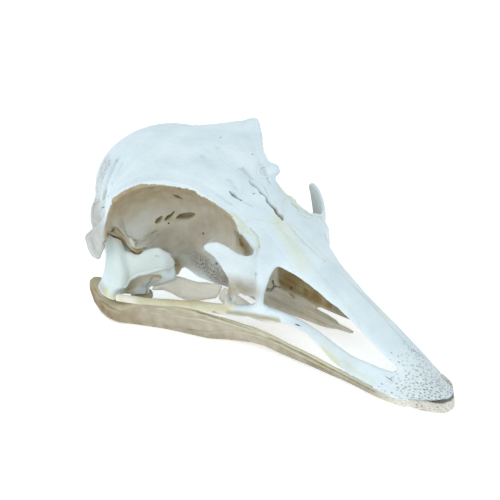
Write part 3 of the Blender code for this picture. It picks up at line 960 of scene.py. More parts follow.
    def parted(self) -> dict[str, bpy.types.Object]:
        """Part the fused surface along its sutures.

        Returns:
            One piece for each bone, by the bone's name.
        """
        away, _ = self.seams()
        mesh = self.obj.data
        owner = [int(np.argmin(away[:, p.vertices[:]].sum(axis=1))) for p in mesh.polygons]
        pieces = {}
        for row, node in enumerate(FUSED_NODES):
            bm = bmesh.new()
            bm.from_mesh(mesh)
            others = [f for f, own in zip(bm.faces, owner) if own != row]
            bmesh.ops.delete(bm, geom=others, context="FACES")
            pieces[node] = add_object(node + "_bone", to_mesh(bm, node + "_bone"))
        bpy.data.objects.remove(self.obj)
        return pieces


@dataclass(frozen=True)
class Pitting:
    """Nerve pits scattered over a horny-sheathed tip."""

    span: Span                     # mm along the skull, from the first pits to the densest
    count: int
    seed: int
    radii: Span = (0.17, 0.35)     # mm, half a pit's width
    lengths: Span = (1.2, 3.0)     # length of a pit, in widths
    smallest: float = 0.6          # share of its size that a pit has where the first ones lie
    sink: float = 2.2              # depth, in half widths
    proud_mm: float = 0.1          # how far a pit's middle lies over the surface
    thinning: float = 1.5          # how sharply the pits thin out away from the tip
    facing: float = 0.5            # they lie on the sides and the upper face
    spacing: float = 1.7           # square of how far apart they stay, in their own sizes

    def meets(self, offset: Vector, ahead: Vector, length: float, width: float) -> bool:
        """Tell whether two pits would run into each other, which the cutter can't take.

        Args:
            offset: From one to the other, in mm.
            ahead: Direction in which they are drawn out.
            length: Their half lengths together.
            width: Their half widths together.

        Returns:
            True where they would.
        """
        along = offset.dot(ahead)
        across = (offset - ahead * along).length
        return (along / length) ** 2 + (across / width) ** 2 < self.spacing

    def burr(self, bone: FineBone) -> bpy.types.Mesh:
        """Make the burr that cuts all the pits of a bone.

        Args:
            bone: Bone to be pitted.

        Returns:
            One mesh with a small drawn-out ball for each pit.
        """
        dice = random.Random(self.seed)
        spots, outward = bone.places()
        first, densest = self.span
        chance = np.clip((on_skull(spots)[0] - first) / (densest - first), 0, 1) ** self.thinning
        chance *= np.abs(outward[:, 1]) + np.clip(outward[:, 2], 0, 1) > self.facing
        order = list(range(len(spots)))
        dice.shuffle(order)
        bm = bmesh.new()
        taken: list[tuple[Vector, float, float]] = []
        for index in order:
            if len(taken) >= self.count:
                break
            if dice.random() > chance[index]:
                continue
            spot = Vector(spots[index])
            radius = dice.uniform(*self.radii) * blend(chance[index], (self.smallest, 1.0))
            length = radius * dice.uniform(*self.lengths)
            normal = Vector(outward[index])
            ahead = (Vector((1, 0, 0)) - normal * normal.x).normalized()
            if any(self.meets((spot - other) / MM, ahead, length + long, radius + size)
                   for other, long, size in taken):
                continue
            taken.append((spot, length, radius))
            ball = bmesh.ops.create_icosphere(bm, subdivisions=1, radius=radius * MM)
            turn = Matrix((ahead, normal.cross(ahead), normal)).transposed().to_4x4()
            draw = Matrix.Diagonal((length / radius, 1.0, self.sink, 1.0))
            place = Matrix.Translation(spot + normal * self.proud_mm * MM)
            bmesh.ops.transform(bm, matrix=place @ turn @ draw, verts=ball["verts"])
        return to_mesh(bm, "pit_burr")


# ------------------------------------------------------------------ the bones
@dataclass
class Region:
    """Marks of one part of the skull; the sub-assemblies below fill it in."""

    nodes: tuple[str, ...] = ()
    grid_mm: float = 0.5           # spacing of the fine mesh
    soften: int = 5                # rounds of smoothing
    uneven_mm: float = 0.18        # how far the swellings of its surface stand out
    cuts: tuple[Mark, ...] = ()
    holes: tuple[Hole, ...] = ()
    stains: tuple[Mark, ...] = ()  # marks without a depth
    pits: Pitting | None = None    # nerve pits of its tip

    def washes(self, spots: np.ndarray, outward: np.ndarray) -> Washes:
        """Lay broad stains and painted shade; a region has none of its own unless it says so.

        Args:
            spots: Places of the mesh's points; not used here.
            outward: Their outward directions; not used here.

        Returns:
            Stains with a weight for each point.
        """
        return []

    def bend(self, spots: np.ndarray, outward: np.ndarray) -> np.ndarray:
        """Put right what the solid holds too coarsely, before anything is marked; a region leaves
        the points as they are unless it says so.

        Args:
            spots: Places of the mesh's points, which may be changed.
            outward: Their outward directions; not used here.

        Returns:
            The new places.
        """
        return spots

    def build(self, shop: Workshop, materials: dict[str, bpy.types.Material]) -> None:
        """Make the region's bones.

        Args:
            shop: Where pixels are traced.
            materials: Materials made so far, by name.
        """
        for node in self.nodes:
            shape_bone(FineBone(node, shop, self.grid_mm, self.soften), [self], materials)


def shape_bone(bone: FineBone, regions: Sequence[Region],
               materials: dict[str, bpy.types.Material]) -> None:
    """Take a bone through all its steps.

    Args:
        bone: The remeshed bone.
        regions: Regions whose marks it carries.
        materials: Materials made so far, by name.
    """
    cuts = [m for r in regions for m in r.cuts]
    holes = [h for r in regions for h in r.holes]
    for region in regions:
        bone.move(region.bend(*bone.places()))
    bone.weather(max(r.uneven_mm for r in regions))
    bone.refine([m for m in cuts if m.width < NARROW_MM])
    for region in regions:
        if region.pits:
            bone.subtract(region.pits.burr(bone))
    bone.pierce(holes)
    bone.cut(cuts)
    spots, outward = bone.places()
    bone.move(np.clip(spots, np.array(CAD_LOW), np.array(CAD_HIGH)))
    washes = [w for r in regions for w in r.washes(spots, outward)]
    # dirt and painted shade on the walls of the openings
    washes.append((BROWN, bone.dirt(holes)))
    if bone.node == FUSED:
        washes += bone.suture()
    bone.stain(cuts + [m for r in regions for m in r.stains], washes)
    bone.finish(materials)


@dataclass
class Braincase(Region):
    """Crown, orbits, the wall between them, and the rostrum with its spine."""

    # shapes of its washes, in mm; a span is where a wash begins and where it is full
    orbit_centre: Point = (63.0, 31.0, 44.0)
    orbit_radii: Triple = (27.0, 29.3, 24.3)
    orbit_edge: Span = (1.18, 1.12)        # in radii
    orbit_height: Span = (30.0, 64.0)      # heights between which it darkens
    lip: Span = (76.0, 80.0)       # the orbit's front lip stays free of painted shade from here
    lip_half: float = 19.0         # half the width of what lies between the lips
    front: Span = (78.0, 82.0)     # wall in front of the eye
    front_half: float = 14.0       # half the width of what it shades
    front_roof: float = 54.0       # its height under the brow
    front_up: float = 0.3          # faces that point up more than this get no painted shade
    back: Span = (46.0, 36.0)      # the orbit's back wall has less painted shade
    back_height: Span = (50.0, 38.0)       # in its lower part
    nose: Span = (92.0, 96.0)      # stained wall of the nose
    nose_half: float = 4.5         # half its thickness and a little more
    nose_roof: float = 78.0        # height of the line under the bar, at the occiput
    nose_fall: float = 0.4         # how much it falls for each mm forward
    nose_upper: Span = (19.0, 23.0)        # heights between which the wall darkens
    tongue: Span = (55.0, 42.0)    # process behind the orbit, whose painted shade grows downwards
    tongue_inner: float = 30.0     # its distance from the middle
    tongue_front: float = 38.0
    # amounts of its washes; a pair is at the bottom and at the top
    # painted shade in the orbits and on the wall in front of the eye
    orbit_warm: Span = (0.5, 0.85)
    orbit_brown: Span = (0.2, 0.62)
    front_brown: float = 0.42
    paler_warm: float = 0.4        # share that the back wall loses
    paler_brown: float = 0.45
    nose_warm: float = 0.6
    nose_brown: Span = (0.36, 0.98)
    nose_yellow: float = 0.45
    # painted shade on the process behind the orbit
    tongue_warm: float = 0.1
    tongue_brown: float = 0.46
    # raised rim of the left brow's lug
    lug_ring: Triple = (264.3, 171.2, 6.0)     # pixel and radius in pixels
    lug_arc: tuple[int, int, int] = (50, 311, 26)  # degrees: from, to and step
    cuts: tuple[Mark, ...] = (
        # flutes behind the brow, where the jaw muscles were; two of these grooves hold painted
        # shade
        Mark(((109, 160), (104, 169), (100.5, 180), (98.5, 192), (98, 201)), 5.5, 1.1),
        Mark(((117, 160), (112.5, 167), (108, 176), (104.5, 187), (103, 199)), 4.4, 1.7,
             {BROWN: 0.24}),
        Mark(((122, 164), (115.5, 173), (110.5, 184), (107.5, 198)), 3.2, -0.7),
        Mark(((97, 188), (94.5, 203), (92.5, 217), (90.5, 228), (91.5, 239), (95, 249)), 1.8, 0.8,
             {BROWN: 0.3}),
        # lip of the orbit, and the shallow furrow that follows it on the brow
        Mark(((112, 198.5), (122, 192), (140, 182.5), (164, 180.5), (190, 186.5),
              (214, 201.5), (236, 217.5), (247, 228)), 2.4, -0.35),
        Mark(((112, 192), (125, 183), (142, 175.5), (165, 173.5), (190, 178.5), (212, 190),
              (232, 204)), 6.5, 0.4),
        # broad hollow across the front of the crown
        Mark(((218, 147), (236, 162), (252, 178)), 14.0, 0.6),
        Mark(((240, 199), (246, 202.5), (253, 206)), 1.6, 0.3),
        # edge of the orbit's back wall above the quadrate; its grooves hold painted yellow-brown
        # shade
        Mark(((110.5, 232), (113, 228.5), (117, 229), (121, 233), (126, 241), (132, 248)), 3.0,
             1.3, {YELLOW: 1.0}),
        Mark(((114, 229.5), (119, 231.5), (124, 238), (130, 246.5), (137, 250), (146, 248)), 1.7,
             0.8, {BROWN: 1.0}),
        Mark(((106, 240), (104.5, 247), (104.5, 256)), 2.6, 1.2, {BROWN: 0.9}),
        Mark(((133, 239.5), (138, 240.5), (144, 238.5), (151, 234), (156, 230.5)), 2.2, 0.9,
             {YELLOW: 0.9}),
        Mark(((135.5, 244), (141, 241.5), (146, 239.5)), 1.3, 0.7, {BROWN: 0.9}),
        Mark(((136, 247.5), (143, 244.5), (151, 240), (158, 235)), 2.4, -0.7),
        Mark(((127, 237), (131, 238.5), (134, 243), (134.5, 248)), 2.0, -0.6),
        # ragged lip of the orbit's front wall
        Mark(((233, 233), (238, 239), (241, 246), (245, 250)), 1.4, -0.4, {YELLOW: 0.5}),
        # hollow under the front of the brow, with painted shade in it
        Mark(((235, 233), (240, 238), (243, 244)), 8.0, 1.0, {BROWN: 0.9}),
        Mark(((238, 226), (241, 232), (240, 238)), 3.0, -0.7, {YELLOW: 0.5}),
        # seams in the wall of the nose
        Mark(((268, 289.5), (271, 290.5), (274, 286.5), (279, 288), (284, 288), (289, 292),
              (294, 298)), 1.3, 1.2, {BROWN: 1.0}),
        Mark(((268, 289.5), (271, 290)), 2.4, 1.2, {BROWN: 1.0}),
        Mark(((277, 279), (300, 294), (320, 307)), 1.8, -0.5),
        Mark(((281, 274), (303, 288), (327, 303)), 1.0, 0.4, {BROWN: 0.8}),
        Mark(((269, 297), (283, 303), (310, 317), (334, 328)), 1.1, 0.5, {BROWN: 0.7}),
        Mark(((284, 290), (300, 300), (320, 313), (337, 323)), 1.8, 0.6, {BROWN: 0.8}),
        Mark(((280, 292), (298, 303), (318, 315), (335, 325)), 1.6, -0.4),
        Mark(((268, 300), (285, 306), (300, 313)), 0.9, 0.3, {BROWN: 0.6}),
        Mark(((277, 279.5), (283, 283), (291, 289), (299, 296)), 1.0, 0.7, {BROWN: 1.0}),
        # fine seams of the crown
        Mark(((218, 141), (228, 147), (240, 150), (252, 154)), 1.2, 0.12, both=False),
        Mark(((205, 150), (221, 158), (236, 169), (247, 180)), 1.6, 0.14, both=False),
    )
    holes: tuple[Hole, ...] = (
        Hole(((229.5, 191), (233, 194), (236.5, 197), (241, 200.5)), (0.6, 2.0, 1.5, 0.4), 4.0,
             both=False, dirt=1.0),
        Hole(((248.8, 180.8), (253, 184.5), (258, 188), (262, 192.8), (266.5, 196.5),
              (268, 201), (270.5, 204.5), (275, 208), (277.5, 213), (281.5, 216), (283, 220)),
             (0.5, 1.8, 1.3, 2.2, 1.6, 2.2, 1.7, 2.4, 2.1, 2.7, 1.0), 4.5, both=False, dirt=1.0),
        Hole(((220.8, 137.3),), (0.8,), 1.0, both=False),
        Hole(((252.3, 154.2),), (0.8,), 1.0, both=False),
        Hole(((254.4, 193),), (0.6,), 1.0),
        Hole(((102, 207.2), (103.5, 206.9), (105, 206.5)), (0.4, 1.4, 0.4), 1.8, dirt=1.0),
        Hole(((172.5, 194.3), (177, 196.5), (182.5, 199.3)), (0.5, 1.9, 0.4), 3.0, dirt=1.0),
        Hole(((176, 218), (180, 216.8), (186, 216), (191, 215), (195, 214)),
             (0.8, 2.8, 3.6, 3.0, 0.9), 2.2, dirt=0.85),
        Hole(((155.5, 223), (158.5, 220.5), (162.5, 216.5)), (1.0, 2.8, 1.2), 2.0, dirt=0.8),
        Hole(((165, 220), (168.5, 217), (171.5, 215), (174.5, 211.5)), (0.9, 1.9, 1.4, 0.9), 2.6,
             dirt=0.9),
        Hole(((168.9, 223.3),), (0.8,), 1.5),
        Hole(((203.2, 233.4),), (1.0,), 1.5),
        Hole(((291.5, 288),), (1.6,), 6.0, both=False, dirt=0.0),
        Hole(((273, 280), (272.5, 282.5), (273.2, 286)), (0.8, 2.0, 1.0), 1.6, dirt=1.0),
    )
    stains: tuple[Mark, ...] = (
        Mark(((266, 290), (271, 290.5), (274, 286.5), (284, 288), (294, 298)), 2.8, 0,
             {BROWN: 0.9}),
        Mark(((162, 219.5), (167, 218.5), (176, 220), (186, 218.5), (195, 216)), 7.0, 0,
             {BROWN: 0.45}),
        Mark(((155, 223), (162, 218), (176, 218), (195, 214)), 5.0, 0, {YELLOW: 0.6}),
        # painted shade under the edge of the orbit's back wall, above the quadrate
        Mark(((108, 234), (114, 232), (119, 236), (126, 245), (132, 251), (140, 253)), 6.0, 0,
             {BROWN: 0.8}),
        Mark(((108, 234), (114, 232), (119, 236), (126, 245), (132, 251), (140, 253)), 7.0, 0,
             {WARM: 1.0}),
        # painted shade on the base of the braincase, above the pterygoid
        Mark(((166, 256), (174, 262), (178, 270), (172, 277)), 16.0, 0, {WARM: 0.8, BROWN: 0.35}),
        # painted shade on the lobe behind the process at the back of the orbit
        Mark(((93, 222), (89, 232), (89, 242), (93, 251)), 4.0, 0, {BROWN: 0.3}),
        # spongy grey bone on the flutes, which also paints the shade of their faces turned from
        # the light
        Mark(((105, 161), (99, 176), (96, 190), (95, 202)), 11.0, 0, {POROUS: 0.34}),
        Mark(((108, 165), (102, 176), (99.5, 188)), 6.0, 0, {POROUS: 0.42}),
        Mark(((114, 203), (122, 196.5), (131.5, 191), (141, 188.5), (153, 188)), 2.6, 0,
             {BROWN: 0.8}),
        # painted shade inside the orbit
        Mark(((160, 238), (176, 236), (190, 241), (203, 228), (210, 222)), 24.0, 0, {BROWN: 0.52}),
        Mark(((184, 252), (190, 246), (198, 240)), 16.0, 0, {BROWN: 0.45}),
        Mark(((269, 297), (277, 301), (286, 305)), 10.0, 0, {WARM: 0.6, BROWN: 0.36}),
        Mark(((198, 258), (206, 266), (214, 275), (221, 283)), 15.0, 0, {POROUS: 0.75}),
        Mark(((178, 236), (184, 250), (190, 258), (204, 262)), 22.0, 0, {WARM: 0.5}),
        # painted shadow between the process behind the orbit and the quadrate
        Mark(((108, 235), (106.5, 246), (106.5, 256)), 5.0, 0, {BROWN: 0.9}),
        Mark(((232, 214), (240, 222), (248, 232)), 3.0, 0, {YELLOW: 0.6}),
        # painted shade in the hollow under the front of the brow
        Mark(((240, 240), (244, 246), (247, 252)), 9.0, 0, {WARM: 0.8, BROWN: 0.7}),
    )

    def __post_init__(self) -> None:
        """Add the ring to the marks."""
        self.cuts += (self.ring(),)

    def ring(self) -> Mark:
        """Draw the raised rim round the pit in the left brow's lug.

        Returns:
            A ridge along most of a circle.
        """
        column, row, radius = self.lug_ring
        turns = [math.radians(a) for a in range(*self.lug_arc)]
        line = tuple((column + radius * math.cos(a), row + radius * math.sin(a)) for a in turns)
        return Mark(line, 1.6, -0.55, both=False, taper=False)

    def washes(self, spots: np.ndarray, outward: np.ndarray) -> Washes:
        """Paint shade into the orbits, darkest under the brow, and down the process behind the
        orbit, and stain the wall of the nose.

        Args:
            spots: Places of the mesh's points.
            outward: Their outward directions.

        Returns:
            Stains with their weights.
        """
        along, across, up = on_skull(spots)
        aside = np.abs(across)
        turned = outward.copy()
        turned[:, 1] *= np.sign(across)
        from_middle = np.column_stack((along, aside, up)) - self.orbit_centre
        reach = np.linalg.norm(from_middle / self.orbit_radii, axis=1)
        inward = (turned * from_middle).sum(axis=1) < 0
        # painted shade inside the orbits and on the wall in front of the eye, darkest under the
        # brow
        inside = fade(reach, self.orbit_edge) * inward
        inside *= 1.0 - fade(along, self.lip) * (aside > self.lip_half)
        front = fade(along, self.front) * (along < self.nose[1]) * (aside < self.front_half)
        front *= (up < self.front_roof) * (outward[:, 2] < self.front_up)
        inside = np.maximum(inside, front)
        height = fade(up, self.orbit_height)
        pale = fade(along, self.back) * fade(up, self.back_height)
        nose = fade(along, self.nose) * (aside < self.nose_half)
        nose *= up < self.nose_roof - self.nose_fall * along
        upper = fade(up, self.nose_upper)
        # painted shade on the process behind the orbit, growing downwards
        tongue = fade(up, self.tongue) * (aside > self.tongue_inner) * (along < self.tongue_front)
        shade = np.maximum(inside * blend(height, self.orbit_brown), self.front_brown * front)
        return [(WARM, inside * blend(height, self.orbit_warm) * (1.0 - self.paler_warm * pale)),
                (BROWN, shade * (1.0 - self.paler_brown * pale)),
                (WARM, self.nose_warm * nose),
                (BROWN, nose * blend(upper, self.nose_brown)),
                (YELLOW, self.nose_yellow * nose * upper),
                (WARM, self.tongue_warm * tongue),
                (BROWN, self.tongue_brown * tongue)]


@dataclass
class Nose(Region):
    """Nasals with their thin sutures, and the walls of the nostrils."""

    cuts: tuple[Mark, ...] = (
        # sutures between the nasals and the bar of the bill
        Mark(((276.7, 219), (281, 227), (289, 240), (297, 254)), 0.9, 0.14, {YELLOW: 0.5},
             both=False),
        Mark(((287.5, 222.5), (297, 235), (305, 243.8), (315, 252.5), (325, 261)), 0.8, 0.16,
             {BROWN: 0.4}, both=False),
        Mark(((308, 250), (318, 256), (331, 263)), 1.0, 0.14, both=False),
        Mark(((262, 228), (272, 240), (284, 256), (296, 272)), 1.6, 0.12, both=False),
        Mark(((292, 203.5), (300, 208.5), (310, 213.3), (320.8, 217.5), (328, 220)), 2.0, 0.35,
             {YELLOW: 0.9}, both=False),
        Mark(((296, 211), (306, 217), (318, 222)), 1.2, 0.2, {YELLOW: 0.5}, both=False),
    )
    holes: tuple[Hole, ...] = (
        Hole(((325, 233.5), (327, 239.5)), (0.8, 1.2), 2.5, both=False),
    )
    stains: tuple[Mark, ...] = (
        Mark(((252, 232), (257, 240), (258.5, 250), (257, 262)), 4.0, 0, {YELLOW: 0.35},
             both=False),
        Mark(((277, 219), (286, 233), (293, 246), (303, 264)), 11.0, 0, {YELLOW: 0.36},
             both=False),
        Mark(((371, 296), (384, 309), (396, 321)), 3.0, 0, {YELLOW: 0.5}, both=False),
    )


@dataclass
class Lacrimals(Region):
    """Lacrimals with the suture that frames them and the finger that hangs down."""

    cuts: tuple[Mark, ...] = (
        Mark(((250, 228), (257.5, 236), (259.5, 248), (257, 263), (254, 277)), 0.9, 0.26,
             {BROWN: 0.5}),
        Mark(((254, 277), (253, 285), (252.5, 294)), 0.7, 0.3, {BROWN: 0.8}),
        Mark(((247, 231), (254.5, 238), (256, 248), (253.5, 262), (251, 274)), 1.6, -0.25),
        Mark(((203.7, 245.5), (209, 241), (215, 236.5)), 1.6, -0.3),
    )
    holes: tuple[Hole, ...] = (
        Hole(((217, 263.4),), (1.4,), 1.2),
        Hole(((222, 289), (228, 294), (231, 300)), (0.5, 1.6, 0.5), 1.6),
    )
    stains: tuple[Mark, ...] = (
        # painted shade: on the hanging finger, on the lower part of the lacrimal, and faintly over
        # its plate
        Mark(((230, 290), (229, 303)), 11.0, 0, {WARM: 0.6}),
        Mark(((230, 293), (229, 303)), 9.0, 0, {BROWN: 0.45}),
        Mark(((226, 279), (236, 286), (246, 291)), 19.0, 0, {WARM: 0.2}),
        Mark(((226, 279), (236, 286), (246, 291)), 20.0, 0, {BROWN: 0.72}),
        Mark(((206, 243), (222, 254), (240, 268), (246, 280)), 26.0, 0, {BROWN: 0.13}),
        Mark(((229, 290), (229.5, 296), (230, 301)), 9.0, 0, {BROWN: 0.7}),
    )


@dataclass
class Bill(Region):
    """Tip and arms of the bill, with the maxillae."""

    tip: Span = (150.0, 170.0)     # mm along the skull where the bends begin and are full
    droop: Span = (18.0, 10.0)     # mm, heights at which the rim begins to hang, and hangs fully
    droop_mm: float = 1.4
    draw_in: float = 0.12          # share of the left half's width
    rough: Span = (154.0, 180.0)   # mm along the skull where the bone turns spongy
    rough_amount: float = 0.14
    pits: Pitting | None = Pitting((157.0, 178.0), 460, seed=4)
    cuts: tuple[Mark, ...] = (
        Mark(((346, 278), (371, 303), (413, 350), (430, 362)), 1.3, 0.3, both=False),
        Mark(((337, 367), (352, 376), (372, 387), (392, 396), (412, 403)), 1.4, 0.5,
             {BROWN: 0.9}),
        Mark(((376.7, 308), (388, 320)), 2.0, 0.1, {YELLOW: 0.5}, both=False),
    )
    holes: tuple[Hole, ...] = (
        Hole(((385, 376), (388, 378), (391, 380)), (0.2, 0.5, 0.2), 1.0, dirt=0.3),
        Hole(((294.5, 324), (297.5, 324.8), (300, 326)), (0.3, 0.8, 0.3), 1.2),
        Hole(((306.5, 322.8), (309.5, 324)), (0.5, 0.4), 1.0),
    )
    stains: tuple[Mark, ...] = (
        Mark(((286, 312), (305, 326), (325, 346), (345, 364)), 16.0, 0, {BROWN: 0.13}),
        Mark(((323, 350), (331, 357), (337, 364)), 5.5, 0, {YELLOW: 0.8}),
        Mark(((344, 362), (356, 372), (372, 382)), 4.0, 0, {YELLOW: 0.35}),
    )

    def bend(self, spots: np.ndarray, outward: np.ndarray) -> np.ndarray:
        """Let the tip's rim hang down, and draw in its left edge.

        Args:
            spots: Places of the mesh's points.
            outward: Their outward directions; not used.

        Returns:
            The new places.
        """
        along, across, up = on_skull(spots)
        tip = fade(along, self.tip)
        spots[:, 2] -= self.droop_mm * MM * tip * fade(up, self.droop)
        spots[:, 1] *= 1.0 - self.draw_in * tip * (across > 0)
        return spots

    def washes(self, spots: np.ndarray, outward: np.ndarray) -> Washes:
        """Roughen the tip."""
        return [(POROUS, self.rough_amount * fade(on_skull(spots)[0], self.rough))]


@dataclass
class CheekBars(Region):
    """Jugal bars."""

    stains: tuple[Mark, ...] = (
        Mark(((213, 312), (217, 313.5), (222, 315)), 1.8, 0, {BROWN: 1.0}),
        Mark(((104, 292), (112, 297), (122, 301)), 6.0, 0, {YELLOW: 0.8}),
        Mark(((110, 296), (114, 300)), 4.0, 0, {WARM: 0.8}),
        Mark(((140, 305), (175, 307.5), (215, 310)), 2.2, 0, {YELLOW: 0.8}),
        Mark(((110, 298), (140, 301.5), (175, 304.5), (205, 306.5), (225, 309)), 10.0, 0,
             {BROWN: 0.32, YELLOW: 0.55}),
        # olive painted shade on the underside of the maxilla and jugal
        Mark(((228, 312.5), (250, 315), (266, 318), (278, 321)), 4.4, 0,
             {BROWN: 0.65, YELLOW: 0.6}),
    )


@dataclass
class UpperSkull:
    """All the bones that are grown together, made as one and then parted."""

    grid_mm: float = 0.7
    soften: int = 4
    close_mm: float = 0.24         # how far the bones grow to close their sutures
    regions: tuple[Region, ...] = field(default_factory=lambda: (
        Braincase(), Nose(), Lacrimals(), Bill(), CheekBars()))

    def build(self, shop: Workshop, materials: dict[str, bpy.types.Material]) -> None:
        """Make the fused bones.

        Args:
            shop: Where pixels are traced.
            materials: Materials made so far, by name.
        """
        bone = FineBone(FUSED, shop, self.grid_mm, self.soften, self.close_mm)
        shape_bone(bone, self.regions, materials)


@dataclass
class Quadrates(Region):
    """Quadrates: the struts that carry the jaw's hinge."""

    nodes: tuple[str, ...] = ("quadrate_right", "quadrate_left")
    soften: int = 9
    cuts: tuple[Mark, ...] = (
        # hollow under the orbital process, with painted shade in it and in the creases by the
        # inner condyle
        Mark(((128, 291), (134, 284), (141, 279.5), (150, 278), (158, 277)), 6.0, 1.4,
             {WARM: 1.0}),
        Mark(((150, 281), (155, 278.5), (160, 277)), 2.0, 0.8, {BROWN: 0.9}),
        Mark(((146, 294), (148, 286), (151, 281)), 2.0, 0.8, {BROWN: 0.7}),
        Mark(((125, 287), (130, 279), (138, 275), (148, 272.5), (158, 269.5), (170, 267)), 3.0,
             -0.9),
        Mark(((163, 247), (170, 256), (173.5, 263), (168.5, 270)), 2.4, -0.7),
        Mark(((156, 256), (163, 258), (167, 263)), 4.0, 0.5),
        Mark(((113.4, 231), (119, 240), (127, 248), (136, 252.5)), 2.0, -0.4, {YELLOW: 0.4}),
    )
    stains: tuple[Mark, ...] = (
        Mark(((105.5, 290), (112, 297), (118, 300)), 6.0, 0, {YELLOW: 0.8}),
        # painted shade along the top, where the quadrate meets the skull
        Mark(((114, 229), (119, 236), (126, 244), (132, 249), (138, 251)), 3.4, 0, {BROWN: 0.6}),
        Mark(((110, 245), (116, 262), (124, 274), (150, 262)), 26.0, 0, {YELLOW: 0.2}),
        Mark(((111, 236), (120, 240), (129, 249), (136, 254)), 6.0, 0, {WARM: 0.5}),
        Mark(((101, 276), (100, 286), (104, 293)), 8.0, 0, {BROWN: 0.34}),
        Mark(((165, 250), (171, 262), (168, 269)), 7.0, 0, {BROWN: 0.3}),
        # painted shade under the orbital process, by the inner condyle
        Mark(((126, 291), (134, 285), (144, 284), (152, 282), (153, 291)), 9.0, 0, {BROWN: 0.5}),
    )


@dataclass
class Palate(Region):
    """Pterygoids and palatines."""

    nodes: tuple[str, ...] = ("pterygoid_right", "pterygoid_left", "palatine_right",
                              "palatine_left")
    under: Span = (0.5, -0.5)      # upward share of the direction of an under side
    warmth: float = 0.1

    def washes(self, spots: np.ndarray, outward: np.ndarray) -> Washes:
        """Yellow the under sides a little."""
        return [(WARM, self.warmth * fade(outward[:, 2], self.under))]


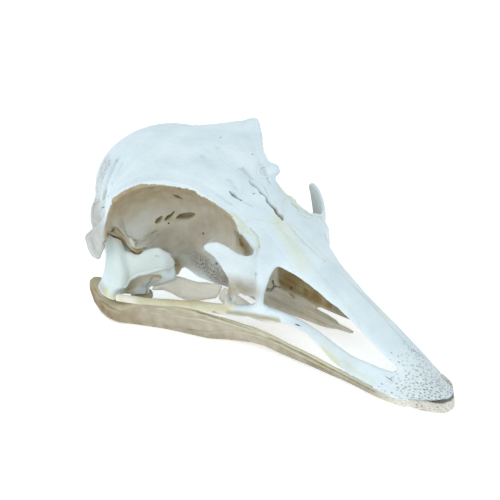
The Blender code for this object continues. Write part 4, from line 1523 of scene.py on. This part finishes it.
@dataclass
class LowerJaw(Region):
    """Mandible with the long grooves of its fused bones and a pitted tip."""

    nodes: tuple[str, ...] = ("mandible",)
    cuts: tuple[Mark, ...] = (
        Mark(((188, 329.5), (207, 332), (233, 331), (256, 334.8), (280, 343), (310, 359),
              (345, 377), (375, 392)), 2.0, 0.6, {BROWN: 0.8}),
        Mark(((197, 312), (222, 319), (245, 327), (266, 336), (290, 348), (320, 364)), 1.3, 0.4,
             {BROWN: 0.7}),
        Mark(((150, 312), (175, 316), (200, 319), (226, 326)), 1.4, 0.35),
        Mark(((92, 282), (97, 295), (107, 307), (120, 312)), 2.0, 0.5),
        Mark(((300, 352), (330, 369), (360, 384)), 1.4, 0.3),
        Mark(((156.5, 309), (163, 310), (169, 310.6)), 2.2, -0.5, {YELLOW: 0.8}),
        Mark(((92, 288), (99, 299), (108, 304)), 2.6, -0.6),
    )
    pits: Pitting | None = Pitting((158.0, 176.0), 190, seed=9, radii=(0.17, 0.36))
    # bends, in mm along the skull
    lift: Span = (150.0, 170.0)    # the tip's upper face comes up to the bill
    lift_up: Span = (-0.1, 0.5)    # upward share of the direction of what is lifted
    lift_mm: float = 2.2
    bow_mm: float = 2.2            # how far the left branch bows out
    bow_middle: float = 128.0
    bow_reach: float = 36.0
    # shapes of its washes, in mm along the skull
    hinge: Span = (66.0, 32.0)     # the pinkish brown of the hinge
    heel: Span = (20.0, 10.0)      # its spongy hind end
    shaft: Span = (172.0, 146.0)
    fore: Span = (100.0, 130.0)    # the shaft's front, where the flank's painted shade is browner
    tip: Span = (160.0, 176.0)
    keel: Span = (7.0, 2.0)        # heights above the table, under which the flank's painted shade deepens
    top: Span = (0.1, 0.6)         # upward share of the direction of its upper face
    ridge: Span = (0.2, 0.6)       # the same, where the flank's painted shade ends
    flank: Span = (0.15, 0.55)     # sideways share of the direction of its flank, where shade is painted
    # amounts of its washes
    hinge_warm: float = 0.85
    hinge_brown: float = 0.84
    hinge_top: float = 0.35        # share of its stain that the hinge's upper face loses: painted light
    heel_warm: float = 0.5         # shares that the heel loses
    heel_brown: float = 0.6
    heel_porous: float = 0.5
    tip_porous: float = 0.26
    shaft_warm: float = 0.2
    shaft_yellow: Span = (0.16, 0.4)       # all over, and on its upper face
    flank_brown: Triple = (0.54, 0.22, 0.14)    # painted shade: all over, more in front, more at the keel
    ridge_brown: float = 0.8       # share of the flank's painted shade that the lit ridge loses

    def bend(self, spots: np.ndarray, outward: np.ndarray) -> np.ndarray:
        """Bring the tip up to the bill, and bow the left branch out behind the bar.

        Args:
            spots: Places of the mesh's points.
            outward: Their outward directions.

        Returns:
            The new places.
        """
        along, across, _ = on_skull(spots)
        tip = fade(along, self.lift) * fade(outward[:, 2], self.lift_up)
        spots[:, 2] += self.lift_mm * MM * tip
        bow = closeness(np.abs(along - self.bow_middle), self.bow_reach)
        spots[:, 1] += self.bow_mm * MM * bow * (across > 0)
        return spots

    def washes(self, spots: np.ndarray, outward: np.ndarray) -> Washes:
        """Stain the hinge and, more faintly, the whole shaft, and paint shade on the flanks,
        darker towards the keel and lighter on the upper faces.

        Args:
            spots: Places of the mesh's points.
            outward: Their outward directions.

        Returns:
            Stains with their weights.
        """
        along, _, up = on_skull(spots)
        heel, shaft = fade(along, self.heel), fade(along, self.shaft)
        upward = fade(outward[:, 2], self.top)
        hinge = fade(along, self.hinge) * (1.0 - self.hinge_top * upward)
        # painted shade on the flanks, fading out on the upper faces
        flank = shaft * fade(np.abs(outward[:, 1]), self.flank)
        flank *= 1.0 - self.ridge_brown * fade(outward[:, 2], self.ridge)
        whole, fore, keel = self.flank_brown
        flank *= (whole + fore * fade(along, self.fore)
                  + keel * fade(up, self.keel) * (1.0 - upward))
        warm = np.maximum(self.hinge_warm * hinge, self.shaft_warm * shaft)
        brown = np.maximum(self.hinge_brown * hinge * (1.0 - self.heel_brown * heel), flank)
        dull, bright = self.shaft_yellow
        return [(WARM, warm * (1.0 - self.heel_warm * heel)),
                (YELLOW, shaft * np.maximum(bright * upward, dull)),
                (BROWN, brown),
                (POROUS, np.maximum(self.heel_porous * heel,
                                    self.tip_porous * fade(along, self.tip)))]


# ------------------------------------------------------------------ the studio
@dataclass(frozen=True)
class Studio:
    """Pale floor and soft light."""

    floor_size: float = 4.0        # metres
    floor: str = "#F7F7F7"
    floor_roughness: float = 0.9
    floor_glow: float = 0.4        # keeps the paper white where the skull shades it
    sky: float = 0.80
    sky_tint: Triple = (0.93, 0.97, 1.0)
    key: float = 6.6               # watts
    key_size: float = 1.6          # metres
    key_place: Triple = (0.05, -0.75, 1.15)     # metres

    def build(self) -> None:
        """Make the floor, the lamps and the world."""
        bm = bmesh.new()
        bmesh.ops.create_grid(bm, x_segments=1, y_segments=1, size=self.floor_size / 2)
        floor = add_object("floor", to_mesh(bm, "floor"))
        paper = bpy.data.materials.new("studio_paper")
        paper.use_nodes = True
        shader = paper.node_tree.nodes["Principled BSDF"]
        for name, value in (("Base Color", srgb(self.floor)), ("Roughness", self.floor_roughness),
                            ("Emission Color", (1.0, 1.0, 1.0, 1.0)),
                            ("Emission Strength", self.floor_glow)):
            shader.inputs[name].default_value = value
        floor.data.materials.append(paper)
        world = bpy.data.worlds.new("studio")
        world.use_nodes = True
        background = world.node_tree.nodes["Background"]
        background.inputs["Color"].default_value = (*self.sky_tint, 1.0)
        background.inputs["Strength"].default_value = self.sky
        bpy.context.scene.world = world
        lamp = bpy.data.lights.new("key", "AREA")
        lamp.energy = self.key
        lamp.size = self.key_size
        key = add_object("key", lamp)
        key.location = self.key_place
        key.rotation_mode = "QUATERNION"
        key.rotation_quaternion = (-key.location).to_track_quat("-Z", "Y")
        bpy.context.scene.view_settings.view_transform = "Standard"


def main() -> None:
    """Build the specimen, the floor and the light."""
    logging.basicConfig(level=logging.INFO, format="%(message)s")
    camera = PhotoCamera()
    camera.build()
    shop = Workshop(camera)
    materials: dict[str, bpy.types.Material] = {}
    for part in (UpperSkull(), Quadrates(), Palate(), LowerJaw()):
        part.build(shop, materials)
    Studio().build()


if __name__ == "__main__":
    main()
